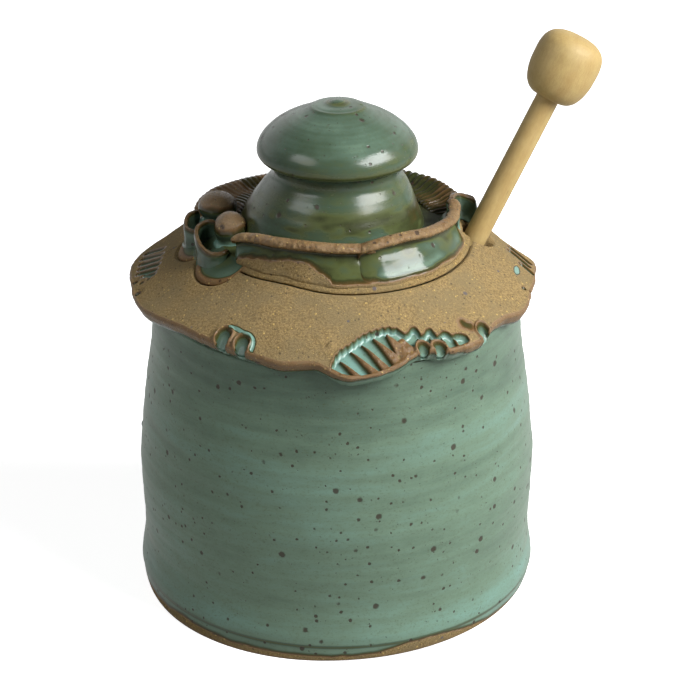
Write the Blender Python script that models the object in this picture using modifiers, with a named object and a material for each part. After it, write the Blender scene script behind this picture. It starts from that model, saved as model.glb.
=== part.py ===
"""Honey pot: a thrown stoneware jar, a slab collar, a keyed lid and a wooden honey dipper.

Metres, +Z up. The origin is the centre of the flat foot, on the table.
Azimuths are degrees about +Z from +X; the front of the pot faces -Y.
"""
import math

import bmesh
import bpy
from mathutils import Vector

MM = 0.001

# Fits
CLEARANCE = 0.3 * MM
SEAM_GAP = 0.6 * MM

# Thrown jar
WALL = 5.5 * MM
FLOOR_THICKNESS = 7.0 * MM
FOOT_CHAMFER = 2.2 * MM
FOOT_RADIUS = 54.7 * MM
FOOT_FLARE_HEIGHT = 4.5 * MM
WAIST_RADIUS = 53.6 * MM
WAIST_HEIGHT = 15.0 * MM
BELLY_RADIUS = 54.5 * MM
BELLY_HEIGHT = 38.0 * MM
SHOULDER_RADIUS = 52.6 * MM
SHOULDER_HEIGHT = 61.0 * MM
NECK_RADIUS = 50.4 * MM

# Slab that the collar and the lid plate are cut from; its seam is a circle set off towards +X
SLAB_THICKNESS = 5.4 * MM
SLAB_FALL = 0.6
SEAM_RADIUS = 35.0 * MM
SEAM_SHIFT = 1.3 * MM
SEAM_HEIGHT = 102.3 * MM
SEAT_BEVEL = 4.0 * MM
EDGE_ROUNDING = 1.4 * MM

# Uneven rim of the collar, pushed out where it was stamped: azimuth, radius
COLLAR_RIM = (
    (-180, 56.8 * MM), (-168, 55.9 * MM), (-156, 54.7 * MM), (-142, 53.0 * MM), (-118, 53.2 * MM),
    (-105, 54.2 * MM), (-94, 54.3 * MM), (-88, 56.8 * MM), (-82, 57.2 * MM), (-74, 55.8 * MM),
    (-66, 53.6 * MM), (-58, 54.8 * MM), (-47, 55.6 * MM), (-34, 53.2 * MM), (-24, 54.7 * MM),
    (-8, 54.1 * MM), (12, 56.3 * MM), (22, 53.5 * MM), (40, 55.0 * MM), (62, 55.6 * MM),
    (96, 53.8 * MM), (128, 56.0 * MM), (148, 55.4 * MM), (165, 57.0 * MM),
)

# Two lobes that key the lid: azimuth, half width in degrees, reach past the seam
KEY_LOBES = ((-152, 14, 7.6 * MM), (-177, 14, 9.2 * MM))

# Lid plate
LID_TOP = 104.0 * MM
LID_HOLE_RADIUS = 20.0 * MM
LID_EDGE_ROUNDING = 0.8 * MM

# Thrown knob
KNOB_WALL = 4.5 * MM
KNOB_BASE_RADIUS = 26.2 * MM
KNOB_SKIRT_HEIGHT = 4.5 * MM
KNOB_SKIRT_RADIUS = 25.6 * MM
KNOB_CONE_RADIUS = 21.8 * MM
KNOB_CONE_HEIGHT = 113.8 * MM
KNOB_WAIST_RADIUS = 17.0 * MM
KNOB_WAIST_HEIGHT = 119.3 * MM
KNOB_LIP_RADIUS = 18.6 * MM
KNOB_LIP_HEIGHT = 122.6 * MM
KNOB_DOME_RADIUS = 21.5 * MM
KNOB_DOME_HEIGHT = 128.0 * MM
KNOB_CROWN_RADIUS = 11.0 * MM
KNOB_CROWN_HEIGHT = 137.6 * MM
KNOB_TOP = 139.6 * MM
KNOB_NIPPLE_RADIUS = 3.4 * MM

# Clay straps on the lid; the front ones flare down to a bare band along the seam
STRAP_THICKNESS = 3.2 * MM
STRAP_SETBACK = 1.4 * MM
STRAP_FLARE_HEIGHT = 4.6 * MM
STRAP_LIP_INSET = 4.4 * MM
STRAP_LIP_HEIGHT = 113.6 * MM
STRAP_LIP_FALL = 0.35
STRAP_JOINT_AZIMUTH = -72.0
STRAP_LEFT_AZIMUTH = -147.0
BACK_STRAP_INNER_RADIUS = 28.4 * MM
BACK_STRAP_OUTER_RADIUS = 38.0 * MM
BACK_STRAP_HEIGHT = 4.2 * MM
BACK_STRAP_THICKNESS = 2.6 * MM
BACK_STRAP_RIB = 0.5 * MM
BACK_STRAP_LEFT_AZIMUTH = 152.0
BACK_STRAP_JOINT_AZIMUTH = 91.0

# Curls and beads on the lid
CURL_THICKNESS = 2.4 * MM
FRONT_CURL_CENTRE = (-32.2 * MM, -12.4 * MM)
FRONT_CURL_RADIUS = 5.2 * MM
FRONT_CURL_SPAN = (145, 300)
FRONT_CURL_RIM = 106.4 * MM
BACK_CURL_CENTRE = (-35.6 * MM, 0.4 * MM)
BACK_CURL_RADIUS = 5.0 * MM
BACK_CURL_SPAN = (122, 226)
BACK_CURL_RIM = 106.0 * MM
LARGE_BEAD_PLACE = (-32.3 * MM, 7.5 * MM)
LARGE_BEAD_RADIUS = 5.1 * MM
LARGE_BEAD_HALF_HEIGHT = 3.8 * MM
SMALL_BEAD_PLACE = (-29.2 * MM, -7.4 * MM)
SMALL_BEAD_RADIUS = 4.1 * MM
SMALL_BEAD_HALF_HEIGHT = 4.1 * MM

# Honey dipper
DIPPER_PASS = (38.0 * MM, 4.0 * MM, 100.0 * MM)
DIPPER_TILT = 31.6
DIPPER_AZIMUTH = 30.0
ROD_RADIUS = 3.2 * MM
ROD_SEATING = 6.0 * MM
GRIP_CENTRE_ALONG = 52.0 * MM
GRIP_LENGTH = 20.0 * MM
GRIP_RADIUS = 9.0 * MM
GRIP_END_RADIUS = 6.2 * MM
HEAD_LENGTH = 26.0 * MM
HEAD_RADIUS = 9.5 * MM
HEAD_GROOVES = 5
HEAD_GROOVE_DEPTH = 3.4 * MM
HEAD_END_ROUNDING = 2.5 * MM
HOLE_PLAY = 1.5 * MM

# Half-pipe that guides the dipper, on the lid
CUP_INNER_RADIUS = 6.2 * MM
CUP_SPAN = (125, 235)
CUP_RIM = 109.6 * MM
CUP_GAP = 2.0

# Leaf stamps pressed in the collar: grooves in each, then first and last azimuth, slant from the
# radius in degrees, radius of the grooves' middles, and length
LEAF_GROOVES = (5, 4, 6, 3)
LEAF_STAMPS = (
    (-87.5, -72.0, 47.0, 53.4 * MM, 7.4 * MM),
    (-66.5, -51.5, 10.0, 50.6 * MM, 4.4 * MM),
    (170.0, 186.0, -31.0, 50.6 * MM, 5.4 * MM),
    (2.0, 11.0, 40.0, 51.6 * MM, 4.6 * MM),
)
LEAF_GROOVE_RADIUS = 0.85 * MM
# Scoops of the loop stamps, open through the rim: azimuth, distance in from the rim, radius
LOOP_POCKETS = (
    (-125.4, 1.5 * MM, 2.0 * MM), (-118.6, 1.3 * MM, 1.9 * MM), (-64.3, 1.4 * MM, 1.5 * MM),
    (-59.4, 1.2 * MM, 1.5 * MM), (-43.4, 1.5 * MM, 1.5 * MM), (-173.5, 1.6 * MM, 1.3 * MM),
)
POCKET_DEPTH = 2.6 * MM

# Mesh fineness
TURNED_STEPS = 56
KNOB_STEPS = 42
SMALL_TURNED_STEPS = 28
SLAB_STEPS = 180
WALL_STEPS = 18
CURL_STEPS = 9
SPAN_STEPS = 3


def clear_scene():
    """Remove every object, so the script starts from nothing."""
    for old in list(bpy.data.objects):
        bpy.data.objects.remove(old, do_unlink=True)


def new_collection(name):
    """Make a collection in the scene."""
    collection = bpy.data.collections.new(name)
    bpy.context.scene.collection.children.link(collection)
    return collection


def plain_material(name, colour, roughness, metallic=0.0):
    """One Principled material."""
    material = bpy.data.materials.new(name)
    material.use_nodes = True
    shader = material.node_tree.nodes["Principled BSDF"]
    shader.inputs["Base Color"].default_value = (*colour, 1.0)
    shader.inputs["Roughness"].default_value = roughness
    shader.inputs["Metallic"].default_value = metallic
    material.diffuse_color = (*colour, 1.0)
    return material


def object_from_bmesh(name, shape, collection, material):
    """Turn a bmesh into a smooth-shaded object."""
    mesh = bpy.data.meshes.new(name)
    shape.to_mesh(mesh)
    shape.free()
    mesh.shade_smooth()
    mesh.set_sharp_from_angle(angle=math.radians(40))
    piece = bpy.data.objects.new(name, mesh)
    collection.objects.link(piece)
    if material:
        mesh.materials.append(material)
    return piece


def smooth_through(points, steps=SPAN_STEPS):
    """Points on a smooth curve through the given (a, b) pairs, ends included."""
    padded = [points[0], *points, points[-1]]
    result = []
    for index in range(1, len(padded) - 2):
        before, start, end, after = (Vector(p) for p in padded[index - 1:index + 3])
        for step in range(steps):
            t = step / steps
            result.append(
                0.5 * (2 * start + (end - before) * t
                       + (2 * before - 5 * start + 4 * end - after) * t ** 2
                       + (3 * start - before - 3 * end + after) * t ** 3))
    result.append(Vector(points[-1]))
    return [tuple(p) for p in result]


def turned(name, profile, collection, material, steps=TURNED_STEPS):
    """Turn an open profile of (radius, height) about Z; both its ends lie on the axis."""
    shape = bmesh.new()
    corners = [shape.verts.new((radius, 0, height)) for radius, height in profile]
    for first, second in zip(corners, corners[1:]):
        shape.edges.new((first, second))
    piece = object_from_bmesh(name, shape, collection, material)
    screw = piece.modifiers.new("Turn", "SCREW")
    screw.axis = "Z"
    screw.angle = math.tau
    screw.steps = steps
    screw.render_steps = steps
    screw.use_merge_vertices = True
    screw.merge_threshold = 0.00001
    screw.use_smooth_shade = True
    return piece


def loft(name, rings, collection, material, closed=False):
    """Join equal rings of points into one closed solid, with end caps or as a closed band."""
    shape = bmesh.new()
    loops = [[shape.verts.new(point) for point in ring] for ring in rings]
    pairs = list(zip(loops, loops[1:]))
    if closed:
        pairs.append((loops[-1], loops[0]))
    for here, there in pairs:
        for index in range(len(here)):
            after = (index + 1) % len(here)
            shape.faces.new((here[index], here[after], there[after], there[index]))
    if not closed:
        shape.faces.new(reversed(loops[0]))
        shape.faces.new(loops[-1])
    bmesh.ops.recalc_face_normals(shape, faces=shape.faces)
    return object_from_bmesh(name, shape, collection, material)


def polar(azimuth, radius, height):
    """A point from an azimuth in degrees, a radius and a height."""
    angle = math.radians(azimuth)
    return Vector((radius * math.cos(angle), radius * math.sin(angle), height))


def slab_top(radius):
    """Height of the sloping slab's upper face."""
    return SEAM_HEIGHT - SLAB_FALL * (radius - SEAM_RADIUS)


def slab_under(radius):
    """Height of the sloping slab's lower face."""
    return slab_top(radius) - SLAB_THICKNESS


def seam_circle(azimuth):
    """Radius of the seam without its lobes: a circle set off from the pot's axis."""
    return SEAM_RADIUS + SEAM_SHIFT * math.cos(math.radians(azimuth))


def lid_edge(azimuth):
    """Radius of the seam between lid and collar, with its two key lobes."""
    reach = 0.0
    for centre, half_width, lobe_reach in KEY_LOBES:
        off = abs((azimuth - centre + 180) % 360 - 180) / half_width
        if off < 1:
            reach = max(reach, lobe_reach * math.sqrt(1 - off ** 2))
    return seam_circle(azimuth) + reach


def collar_rim(azimuth):
    """Radius of the collar's uneven rim, smooth through its named points."""
    count = len(COLLAR_RIM)
    turned_azimuth = (azimuth - COLLAR_RIM[0][0]) % 360
    for index in range(count):
        start = (COLLAR_RIM[index][0] - COLLAR_RIM[0][0]) % 360
        end = (COLLAR_RIM[(index + 1) % count][0] - COLLAR_RIM[0][0]) % 360 or 360
        if start <= turned_azimuth < end:
            t = (turned_azimuth - start) / (end - start)
            ease = (1 - math.cos(math.pi * t)) / 2
            here = COLLAR_RIM[index][1]
            there = COLLAR_RIM[(index + 1) % count][1]
            return here + (there - here) * ease
    return COLLAR_RIM[0][1]


def lid_surface(point):
    """Height of the upper face of the lid, or of the slab past it, under a point."""
    return min(LID_TOP, slab_top(math.hypot(point[0], point[1])))


def lid_flat_radius():
    """Radius at which the sloping slab reaches the lid's flat top."""
    return SEAM_RADIUS - (LID_TOP - SEAM_HEIGHT) / SLAB_FALL


def dipper_direction():
    """Unit vector up the leaning dipper."""
    tilt = math.radians(DIPPER_TILT)
    return polar(DIPPER_AZIMUTH, math.sin(tilt), math.cos(tilt))


def dipper_at_height(height):
    """Where the dipper's axis crosses a height."""
    direction = dipper_direction()
    start = Vector(DIPPER_PASS)
    return start + direction * ((height - start.z) / direction.z)


def dipper_low_end():
    """Centre of the head's lower end, just clear of the pot's floor."""
    tilt = math.radians(DIPPER_TILT)
    drop = (HEAD_RADIUS - HEAD_END_ROUNDING) * math.sin(tilt) + HEAD_END_ROUNDING * (1 - math.cos(tilt))
    return dipper_at_height(FLOOR_THICKNESS + CLEARANCE + drop + HEAD_END_ROUNDING * math.sin(tilt) / 2)


def place_on_dipper(piece, along):
    """Stand a piece on the dipper's axis, a distance above the pass point."""
    piece.location = Vector(DIPPER_PASS) + dipper_direction() * along
    piece.rotation_euler = (0, math.radians(DIPPER_TILT), math.radians(DIPPER_AZIMUTH))


def cut(piece, cutter):
    """Cut one object out of another."""
    boolean = piece.modifiers.new("Cut " + cutter.name, "BOOLEAN")
    boolean.operation = "DIFFERENCE"
    boolean.object = cutter


def hide_cutter(cutter):
    """A cutter is only drawn as wire."""
    cutter.hide_render = True
    cutter.display_type = "WIRE"


def make_pot_body(parts, glaze):
    """Thrown jar: flared foot, slight waist, full belly, wall drawn in to the neck."""
    rim_inner = NECK_RADIUS - WALL
    outer = smooth_through([
        (NECK_RADIUS, slab_under(NECK_RADIUS) - CLEARANCE),
        (SHOULDER_RADIUS, SHOULDER_HEIGHT),
        (BELLY_RADIUS, BELLY_HEIGHT),
        (WAIST_RADIUS, WAIST_HEIGHT),
        (FOOT_RADIUS, FOOT_FLARE_HEIGHT)])
    inner = [(max(radius - WALL, 0), height) for radius, height in outer
             if FLOOR_THICKNESS + WALL < height < slab_under(NECK_RADIUS) - WALL]
    inner.reverse()
    profile = [(0, FLOOR_THICKNESS), (WAIST_RADIUS - 2 * WALL, FLOOR_THICKNESS)]
    profile += inner
    profile.append((rim_inner, slab_under(rim_inner) - CLEARANCE))
    profile += outer
    profile += [(FOOT_RADIUS - FOOT_CHAMFER, 0), (0, 0)]
    return turned("pot_body", profile, parts, glaze)


def slab_point(azimuth, rim, inward, depth):
    """A point in from the rim along the slab, and down through the slab at right angles to it."""
    slope = math.atan(SLAB_FALL)
    radius = rim - inward * math.cos(slope) - depth * math.sin(slope)
    height = slab_top(rim) + inward * math.sin(slope) - depth * math.cos(slope)
    return polar(azimuth, radius, height)


def collar_section(azimuth):
    """One radial section of the collar, from the seam round the square-cut rim and back."""
    seam = lid_edge(azimuth) + SEAM_GAP
    rim = collar_rim(azimuth)
    seat = seam - SEAT_BEVEL
    depth = SLAB_THICKNESS * math.cos(math.atan(SLAB_FALL))
    return [
        polar(azimuth, seam, slab_top(seam)),
        slab_point(azimuth, rim, EDGE_ROUNDING, 0),
        slab_point(azimuth, rim, EDGE_ROUNDING * 0.3, EDGE_ROUNDING * 0.3),
        slab_point(azimuth, rim, 0, EDGE_ROUNDING),
        slab_point(azimuth, rim, 0, depth - EDGE_ROUNDING),
        slab_point(azimuth, rim, EDGE_ROUNDING, depth),
        polar(azimuth, seat, slab_under(seat)),
    ]


def make_collar(parts, cutters, clay):
    """Sloping slab brim with the keyed opening, the dipper's hole and pressed ornament."""
    rings = [collar_section(360 * step / SLAB_STEPS) for step in range(SLAB_STEPS)]
    collar = loft("collar", rings, parts, clay, closed=True)
    cut(collar, make_hole_cutter(cutters))
    cut(collar, make_leaf_cutters(cutters))
    cut(collar, make_pocket_cutters(cutters))
    return collar


def make_hole_cutter(cutters):
    """Round hole along the dipper's axis, through lid and collar."""
    existing = bpy.data.objects.get("dipper_hole_cutter")
    if existing:
        return existing
    shape = bmesh.new()
    radius = ROD_RADIUS + HOLE_PLAY
    bmesh.ops.create_cone(shape, cap_ends=True, segments=24, radius1=radius, radius2=radius,
                          depth=6 * SLAB_THICKNESS)
    cutter = object_from_bmesh("dipper_hole_cutter", shape, cutters, None)
    place_on_dipper(cutter, 0)
    hide_cutter(cutter)
    return cutter


def make_leaf_cutters(cutters):
    """Slanting grooves of the pressed leaves, as one cutter."""
    shape = bmesh.new()
    for count, (first, last, slant, radius, length) in zip(LEAF_GROOVES, LEAF_STAMPS):
        for step in range(count):
            share = step / (count - 1)
            azimuth = first + (last - first) * share
            taper = 0.55 + 0.45 * math.sin(math.pi * (0.15 + 0.7 * share))
            centre = polar(azimuth, radius, slab_top(radius))
            across = math.radians(azimuth + slant)
            fall = -SLAB_FALL * math.cos(math.radians(slant))
            along = Vector((math.cos(across), math.sin(across), fall)).normalized()
            turn = along.to_track_quat("Z", "Y").to_matrix().to_4x4()
            turn.translation = centre
            groove = bmesh.ops.create_uvsphere(shape, u_segments=8, v_segments=6,
                                               radius=LEAF_GROOVE_RADIUS)["verts"]
            stretch = length * taper / (2 * LEAF_GROOVE_RADIUS)
            bmesh.ops.scale(shape, verts=groove, vec=(1, 1, stretch))
            bmesh.ops.transform(shape, verts=groove, matrix=turn)
    cutter = object_from_bmesh("leaf_cutters", shape, cutters, None)
    hide_cutter(cutter)
    return cutter


def make_pocket_cutters(cutters):
    """Scoops of the loop stamps, as one cutter."""
    shape = bmesh.new()
    for azimuth, inset, pocket_radius in LOOP_POCKETS:
        radius = collar_rim(azimuth) - inset
        top = slab_top(radius)
        pocket = bmesh.ops.create_cone(shape, cap_ends=True, segments=14, radius1=pocket_radius,
                                       radius2=pocket_radius, depth=2 * POCKET_DEPTH)["verts"]
        bmesh.ops.translate(shape, verts=pocket, vec=polar(azimuth, radius, top))
    cutter = object_from_bmesh("pocket_cutters", shape, cutters, None)
    hide_cutter(cutter)
    return cutter


def lid_section(azimuth):
    """One radial section of the lid plate."""
    edge = lid_edge(azimuth)
    seat = edge - SEAT_BEVEL
    inside = lid_flat_radius() - SEAT_BEVEL
    under = slab_under(SEAM_RADIUS - SEAT_BEVEL)
    rounded = edge - LID_EDGE_ROUNDING
    return [
        polar(azimuth, LID_HOLE_RADIUS, LID_TOP),
        polar(azimuth, lid_flat_radius(), LID_TOP),
        polar(azimuth, rounded, slab_top(rounded)),
        polar(azimuth, edge, slab_top(edge) - LID_EDGE_ROUNDING / 2),
        polar(azimuth, seat, slab_under(seat)),
        polar(azimuth, inside, under),
        polar(azimuth, LID_HOLE_RADIUS, under),
    ]


def make_lid_plate(parts, cutters, clay):
    """Flat lid slab with a bevelled edge, two key lobes and a bite for the dipper."""
    rings = [lid_section(360 * step / SLAB_STEPS) for step in range(SLAB_STEPS)]
    plate = loft("lid_plate", rings, parts, clay, closed=True)
    cut(plate, make_hole_cutter(cutters))
    return plate


def make_lid_knob(parts, glaze):
    """Thrown hollow knob: flared skirt, waist and mushroom dome."""
    base = LID_TOP + CLEARANCE
    outer = smooth_through([
        (KNOB_NIPPLE_RADIUS, KNOB_TOP - 0.5 * KNOB_NIPPLE_RADIUS / 2),
        (KNOB_CROWN_RADIUS, KNOB_CROWN_HEIGHT),
        (KNOB_DOME_RADIUS, KNOB_DOME_HEIGHT),
        (KNOB_LIP_RADIUS, KNOB_LIP_HEIGHT),
        (KNOB_WAIST_RADIUS, KNOB_WAIST_HEIGHT),
        (KNOB_CONE_RADIUS, KNOB_CONE_HEIGHT),
        (KNOB_SKIRT_RADIUS, base + KNOB_SKIRT_HEIGHT),
        (KNOB_BASE_RADIUS, base)])
    hollow_radius = KNOB_WAIST_RADIUS - KNOB_WALL
    profile = [
        (0, KNOB_CROWN_HEIGHT - 1.5 * KNOB_WALL),
        (hollow_radius, KNOB_DOME_HEIGHT),
        (hollow_radius, KNOB_WAIST_HEIGHT),
        (KNOB_SKIRT_RADIUS - 1.3 * KNOB_WALL, base + KNOB_SKIRT_HEIGHT),
        (KNOB_BASE_RADIUS - 1.3 * KNOB_WALL, base)]
    outside = [(0, KNOB_TOP), *outer]
    outside.reverse()
    profile += outside
    profile.reverse()
    return turned("lid_knob", profile, parts, glaze, steps=KNOB_STEPS)


def wall_section(plan, outward, thickness, rim):
    """Section of an upright clay wall that stands on the lid and ends in a rounded lip."""
    half = thickness / 2
    foot = [plan - outward * half, plan, plan + outward * half]
    for corner in foot:
        corner.z = lid_surface(corner) + CLEARANCE
    lip = []
    for across, down in ((1, 1), (0.6, 0), (-0.6, 0), (-1, 1)):
        corner = plan + outward * half * across
        corner.z = rim - half * down
        lip.append(corner)
    return [*foot, *lip]


def strap_section(azimuth, rim):
    """Section of a front strap: it flares down to the bare band at the seam and ends in a lip."""
    middle = seam_circle(azimuth) - STRAP_LIP_INSET
    half = STRAP_THICKNESS / 2
    lip = STRAP_THICKNESS * 0.55
    foot = seam_circle(azimuth) - STRAP_SETBACK
    return [
        polar(azimuth, middle - half, LID_TOP + CLEARANCE),
        polar(azimuth, lid_flat_radius(), LID_TOP + CLEARANCE),
        polar(azimuth, foot, slab_top(foot) + CLEARANCE),
        polar(azimuth, middle + half, LID_TOP + STRAP_FLARE_HEIGHT),
        polar(azimuth, middle + half, rim - 2 * lip),
        polar(azimuth, middle + lip, rim - lip),
        polar(azimuth, middle + lip * 0.6, rim),
        polar(azimuth, middle - lip * 0.6, rim),
        polar(azimuth, middle - lip, rim - lip),
        polar(azimuth, middle - half, rim - 2 * lip),
    ]


def make_front_strap(name, start, end, parts, glaze):
    """Clay strap that stands on the lid's front edge and ends in a rounded lip."""
    rings = []
    for step in range(WALL_STEPS + 1):
        azimuth = start + (end - start) * step / WALL_STEPS
        middle = abs(azimuth - STRAP_JOINT_AZIMUTH) / 90
        rim = STRAP_LIP_HEIGHT - (STRAP_LIP_HEIGHT - LID_TOP) * STRAP_LIP_FALL * middle ** 2
        rings.append(strap_section(azimuth, rim))
    return loft(name, rings, parts, glaze)


def make_back_strap(name, start, end, parts, glaze):
    """Ribbed strap laid round the back of the lid, flaring out past the seam."""
    rings = []
    seat = LID_TOP + CLEARANCE
    for step in range(WALL_STEPS + 1):
        azimuth = start + (end - start) * step / WALL_STEPS
        rib = BACK_STRAP_RIB if step % 2 else 0
        outer = BACK_STRAP_OUTER_RADIUS - rib
        top = seat + BACK_STRAP_HEIGHT - rib
        rings.append([
            polar(azimuth, lid_flat_radius(), seat),
            polar(azimuth, outer, top - BACK_STRAP_THICKNESS * 0.7),
            polar(azimuth, outer, top),
            polar(azimuth, outer - BACK_STRAP_THICKNESS, top),
            polar(azimuth, BACK_STRAP_INNER_RADIUS, seat + BACK_STRAP_THICKNESS - rib),
            polar(azimuth, BACK_STRAP_INNER_RADIUS, seat),
        ])
    return loft(name, rings, parts, glaze)


def make_curl(name, centre, radius, span, rim, parts, glaze):
    """Curled clay ribbon that stands on a key lobe."""
    rings = []
    for step in range(CURL_STEPS + 1):
        azimuth = span[0] + (span[1] - span[0]) * step / CURL_STEPS
        outward = polar(azimuth, 1, 0)
        plan = Vector((*centre, 0)) + outward * radius
        rings.append(wall_section(plan, outward, CURL_THICKNESS, rim))
    return loft(name, rings, parts, glaze)


def cup_centre():
    """Plan centre of the half-pipe: the dipper's axis a little above the lid plate."""
    return dipper_at_height(LID_TOP + CLEARANCE + ROD_RADIUS / 2)


def make_dipper_cup(parts, glaze):
    """Half-pipe of clay on the lid, open towards the side that the dipper leans to."""
    rings = []
    centre = cup_centre()
    for step in range(CURL_STEPS + 1):
        azimuth = CUP_SPAN[0] + (CUP_SPAN[1] - CUP_SPAN[0]) * step / CURL_STEPS
        inward = polar(azimuth, 1, 0)
        plan = centre + inward * (CUP_INNER_RADIUS + CURL_THICKNESS / 2)
        plan.z = 0
        rings.append(wall_section(plan, inward, CURL_THICKNESS, CUP_RIM))
    return loft("dipper_cup", rings, parts, glaze)


def cup_azimuths():
    """First and last azimuth, seen from the pot's axis, that the half-pipe takes up."""
    centre = cup_centre()
    reach = CUP_INNER_RADIUS + CURL_THICKNESS
    found = []
    for step in range(CURL_STEPS + 1):
        azimuth = CUP_SPAN[0] + (CUP_SPAN[1] - CUP_SPAN[0]) * step / CURL_STEPS
        corner = centre + polar(azimuth, reach, 0)
        found.append(math.degrees(math.atan2(corner.y, corner.x)))
    return min(found), max(found)


def make_bead(name, place, radius, half_height, parts, glaze):
    """Rounded clay bead resting on the lid plate."""
    shape = bmesh.new()
    bmesh.ops.create_uvsphere(shape, u_segments=18, v_segments=10, radius=1)
    bmesh.ops.scale(shape, verts=shape.verts, vec=(radius, radius, half_height))
    bead = object_from_bmesh(name, shape, parts, glaze)
    bead.location = (*place, LID_TOP + CLEARANCE + half_height)
    return bead


def make_dipper_rod(parts, wood):
    """Round rod from the head to the grip."""
    low = (dipper_low_end() - Vector(DIPPER_PASS)).dot(dipper_direction())
    start = low + HEAD_LENGTH - ROD_SEATING
    end = GRIP_CENTRE_ALONG - GRIP_LENGTH / 2 + ROD_SEATING
    shape = bmesh.new()
    bmesh.ops.create_cone(shape, cap_ends=True, segments=24, radius1=ROD_RADIUS, radius2=ROD_RADIUS,
                          depth=end - start)
    rod = object_from_bmesh("dipper_rod", shape, parts, wood)
    place_on_dipper(rod, (start + end) / 2)
    return rod


def make_dipper_grip(parts, wood):
    """Barrel grip with a blind bore for the rod."""
    bore = ROD_RADIUS + CLEARANCE
    barrel = smooth_through([
        (GRIP_END_RADIUS, GRIP_LENGTH / 2),
        (GRIP_RADIUS * 0.93, GRIP_LENGTH * 0.3),
        (GRIP_RADIUS, 0),
        (GRIP_RADIUS * 0.93, -GRIP_LENGTH * 0.3),
        (GRIP_END_RADIUS, -GRIP_LENGTH / 2)])
    floor = -GRIP_LENGTH / 2 + ROD_SEATING + CLEARANCE
    profile = [(0, GRIP_LENGTH / 2), *barrel, (bore, -GRIP_LENGTH / 2), (bore, floor), (0, floor)]
    grip = turned("dipper_grip", profile, parts, wood, steps=SMALL_TURNED_STEPS)
    place_on_dipper(grip, GRIP_CENTRE_ALONG)
    return grip


def make_dipper_head(parts, wood):
    """Grooved head that holds the honey, with a blind bore for the rod."""
    bore = ROD_RADIUS + CLEARANCE
    half = HEAD_LENGTH / 2
    pitch = (HEAD_LENGTH - HEAD_END_ROUNDING) / (HEAD_GROOVES + 1)
    wall = pitch * 0.5
    core = HEAD_RADIUS - HEAD_GROOVE_DEPTH
    outer = [(HEAD_RADIUS - HEAD_END_ROUNDING, half)]
    outer.append((HEAD_RADIUS, half - HEAD_END_ROUNDING / 2))
    for groove in range(HEAD_GROOVES):
        middle = half - HEAD_END_ROUNDING / 2 - pitch * (groove + 1)
        outer.append((HEAD_RADIUS, middle + wall / 2))
        outer.append((core, middle + wall / 3))
        outer.append((core, middle - wall / 3))
        outer.append((HEAD_RADIUS, middle - wall / 2))
    outer.append((HEAD_RADIUS, -half + HEAD_END_ROUNDING / 2))
    outer.append((HEAD_RADIUS - HEAD_END_ROUNDING, -half))
    floor = half - ROD_SEATING - CLEARANCE
    profile = [(0, floor), (bore, floor), (bore, half), *outer, (0, -half)]
    head = turned("dipper_head", profile, parts, wood, steps=SMALL_TURNED_STEPS)
    low = (dipper_low_end() - Vector(DIPPER_PASS)).dot(dipper_direction())
    place_on_dipper(head, low + half)
    return head


def main():
    """Build every piece of the honey pot."""
    clear_scene()
    parts = new_collection("honey_pot")
    cutters = new_collection("cutters")
    glaze = plain_material("sage_glaze", (0.16, 0.27, 0.20), 0.35)
    dark_glaze = plain_material("dark_glaze", (0.07, 0.13, 0.08), 0.2)
    clay = plain_material("raw_clay", (0.22, 0.16, 0.10), 0.85)
    wood = plain_material("birch_wood", (0.62, 0.46, 0.26), 0.6)

    make_pot_body(parts, glaze)
    make_collar(parts, cutters, clay)
    make_lid_plate(parts, cutters, clay)
    make_lid_knob(parts, glaze)

    cup_start, cup_end = cup_azimuths()
    half_joint = math.degrees(CLEARANCE / (SEAM_RADIUS - STRAP_LIP_INSET))
    make_front_strap("front_left_strap", STRAP_LEFT_AZIMUTH, STRAP_JOINT_AZIMUTH - half_joint, parts,
                     dark_glaze)
    make_front_strap("front_right_strap", STRAP_JOINT_AZIMUTH + half_joint, cup_start - CUP_GAP, parts,
                     dark_glaze)
    make_back_strap("back_right_strap", cup_end + CUP_GAP, BACK_STRAP_JOINT_AZIMUTH - half_joint, parts,
                    dark_glaze)
    make_back_strap("back_left_strap", BACK_STRAP_JOINT_AZIMUTH + half_joint, BACK_STRAP_LEFT_AZIMUTH,
                    parts, dark_glaze)
    make_dipper_cup(parts, dark_glaze)
    make_curl("front_curl", FRONT_CURL_CENTRE, FRONT_CURL_RADIUS, FRONT_CURL_SPAN, FRONT_CURL_RIM, parts,
              dark_glaze)
    make_curl("back_curl", BACK_CURL_CENTRE, BACK_CURL_RADIUS, BACK_CURL_SPAN, BACK_CURL_RIM, parts,
              dark_glaze)
    make_bead("large_bead", LARGE_BEAD_PLACE, LARGE_BEAD_RADIUS, LARGE_BEAD_HALF_HEIGHT, parts,
              dark_glaze)
    make_bead("small_bead", SMALL_BEAD_PLACE, SMALL_BEAD_RADIUS, SMALL_BEAD_HALF_HEIGHT, parts,
              dark_glaze)

    make_dipper_rod(parts, wood)
    make_dipper_grip(parts, wood)
    make_dipper_head(parts, wood)


main()
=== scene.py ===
"""Looks of the honey pot: glazes, bare clay, pressed ornament and wood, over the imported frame.

Lengths are millimetres until a mesh is made. Azimuths are degrees about +Z from +X, and the front
of the pot faces -Y. Every glazed or bare surface carries a point attribute, glaze, that runs from
0 for bare clay, through brown and olive where the glaze is thin, to 1 where it pools.
"""

import math

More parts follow.
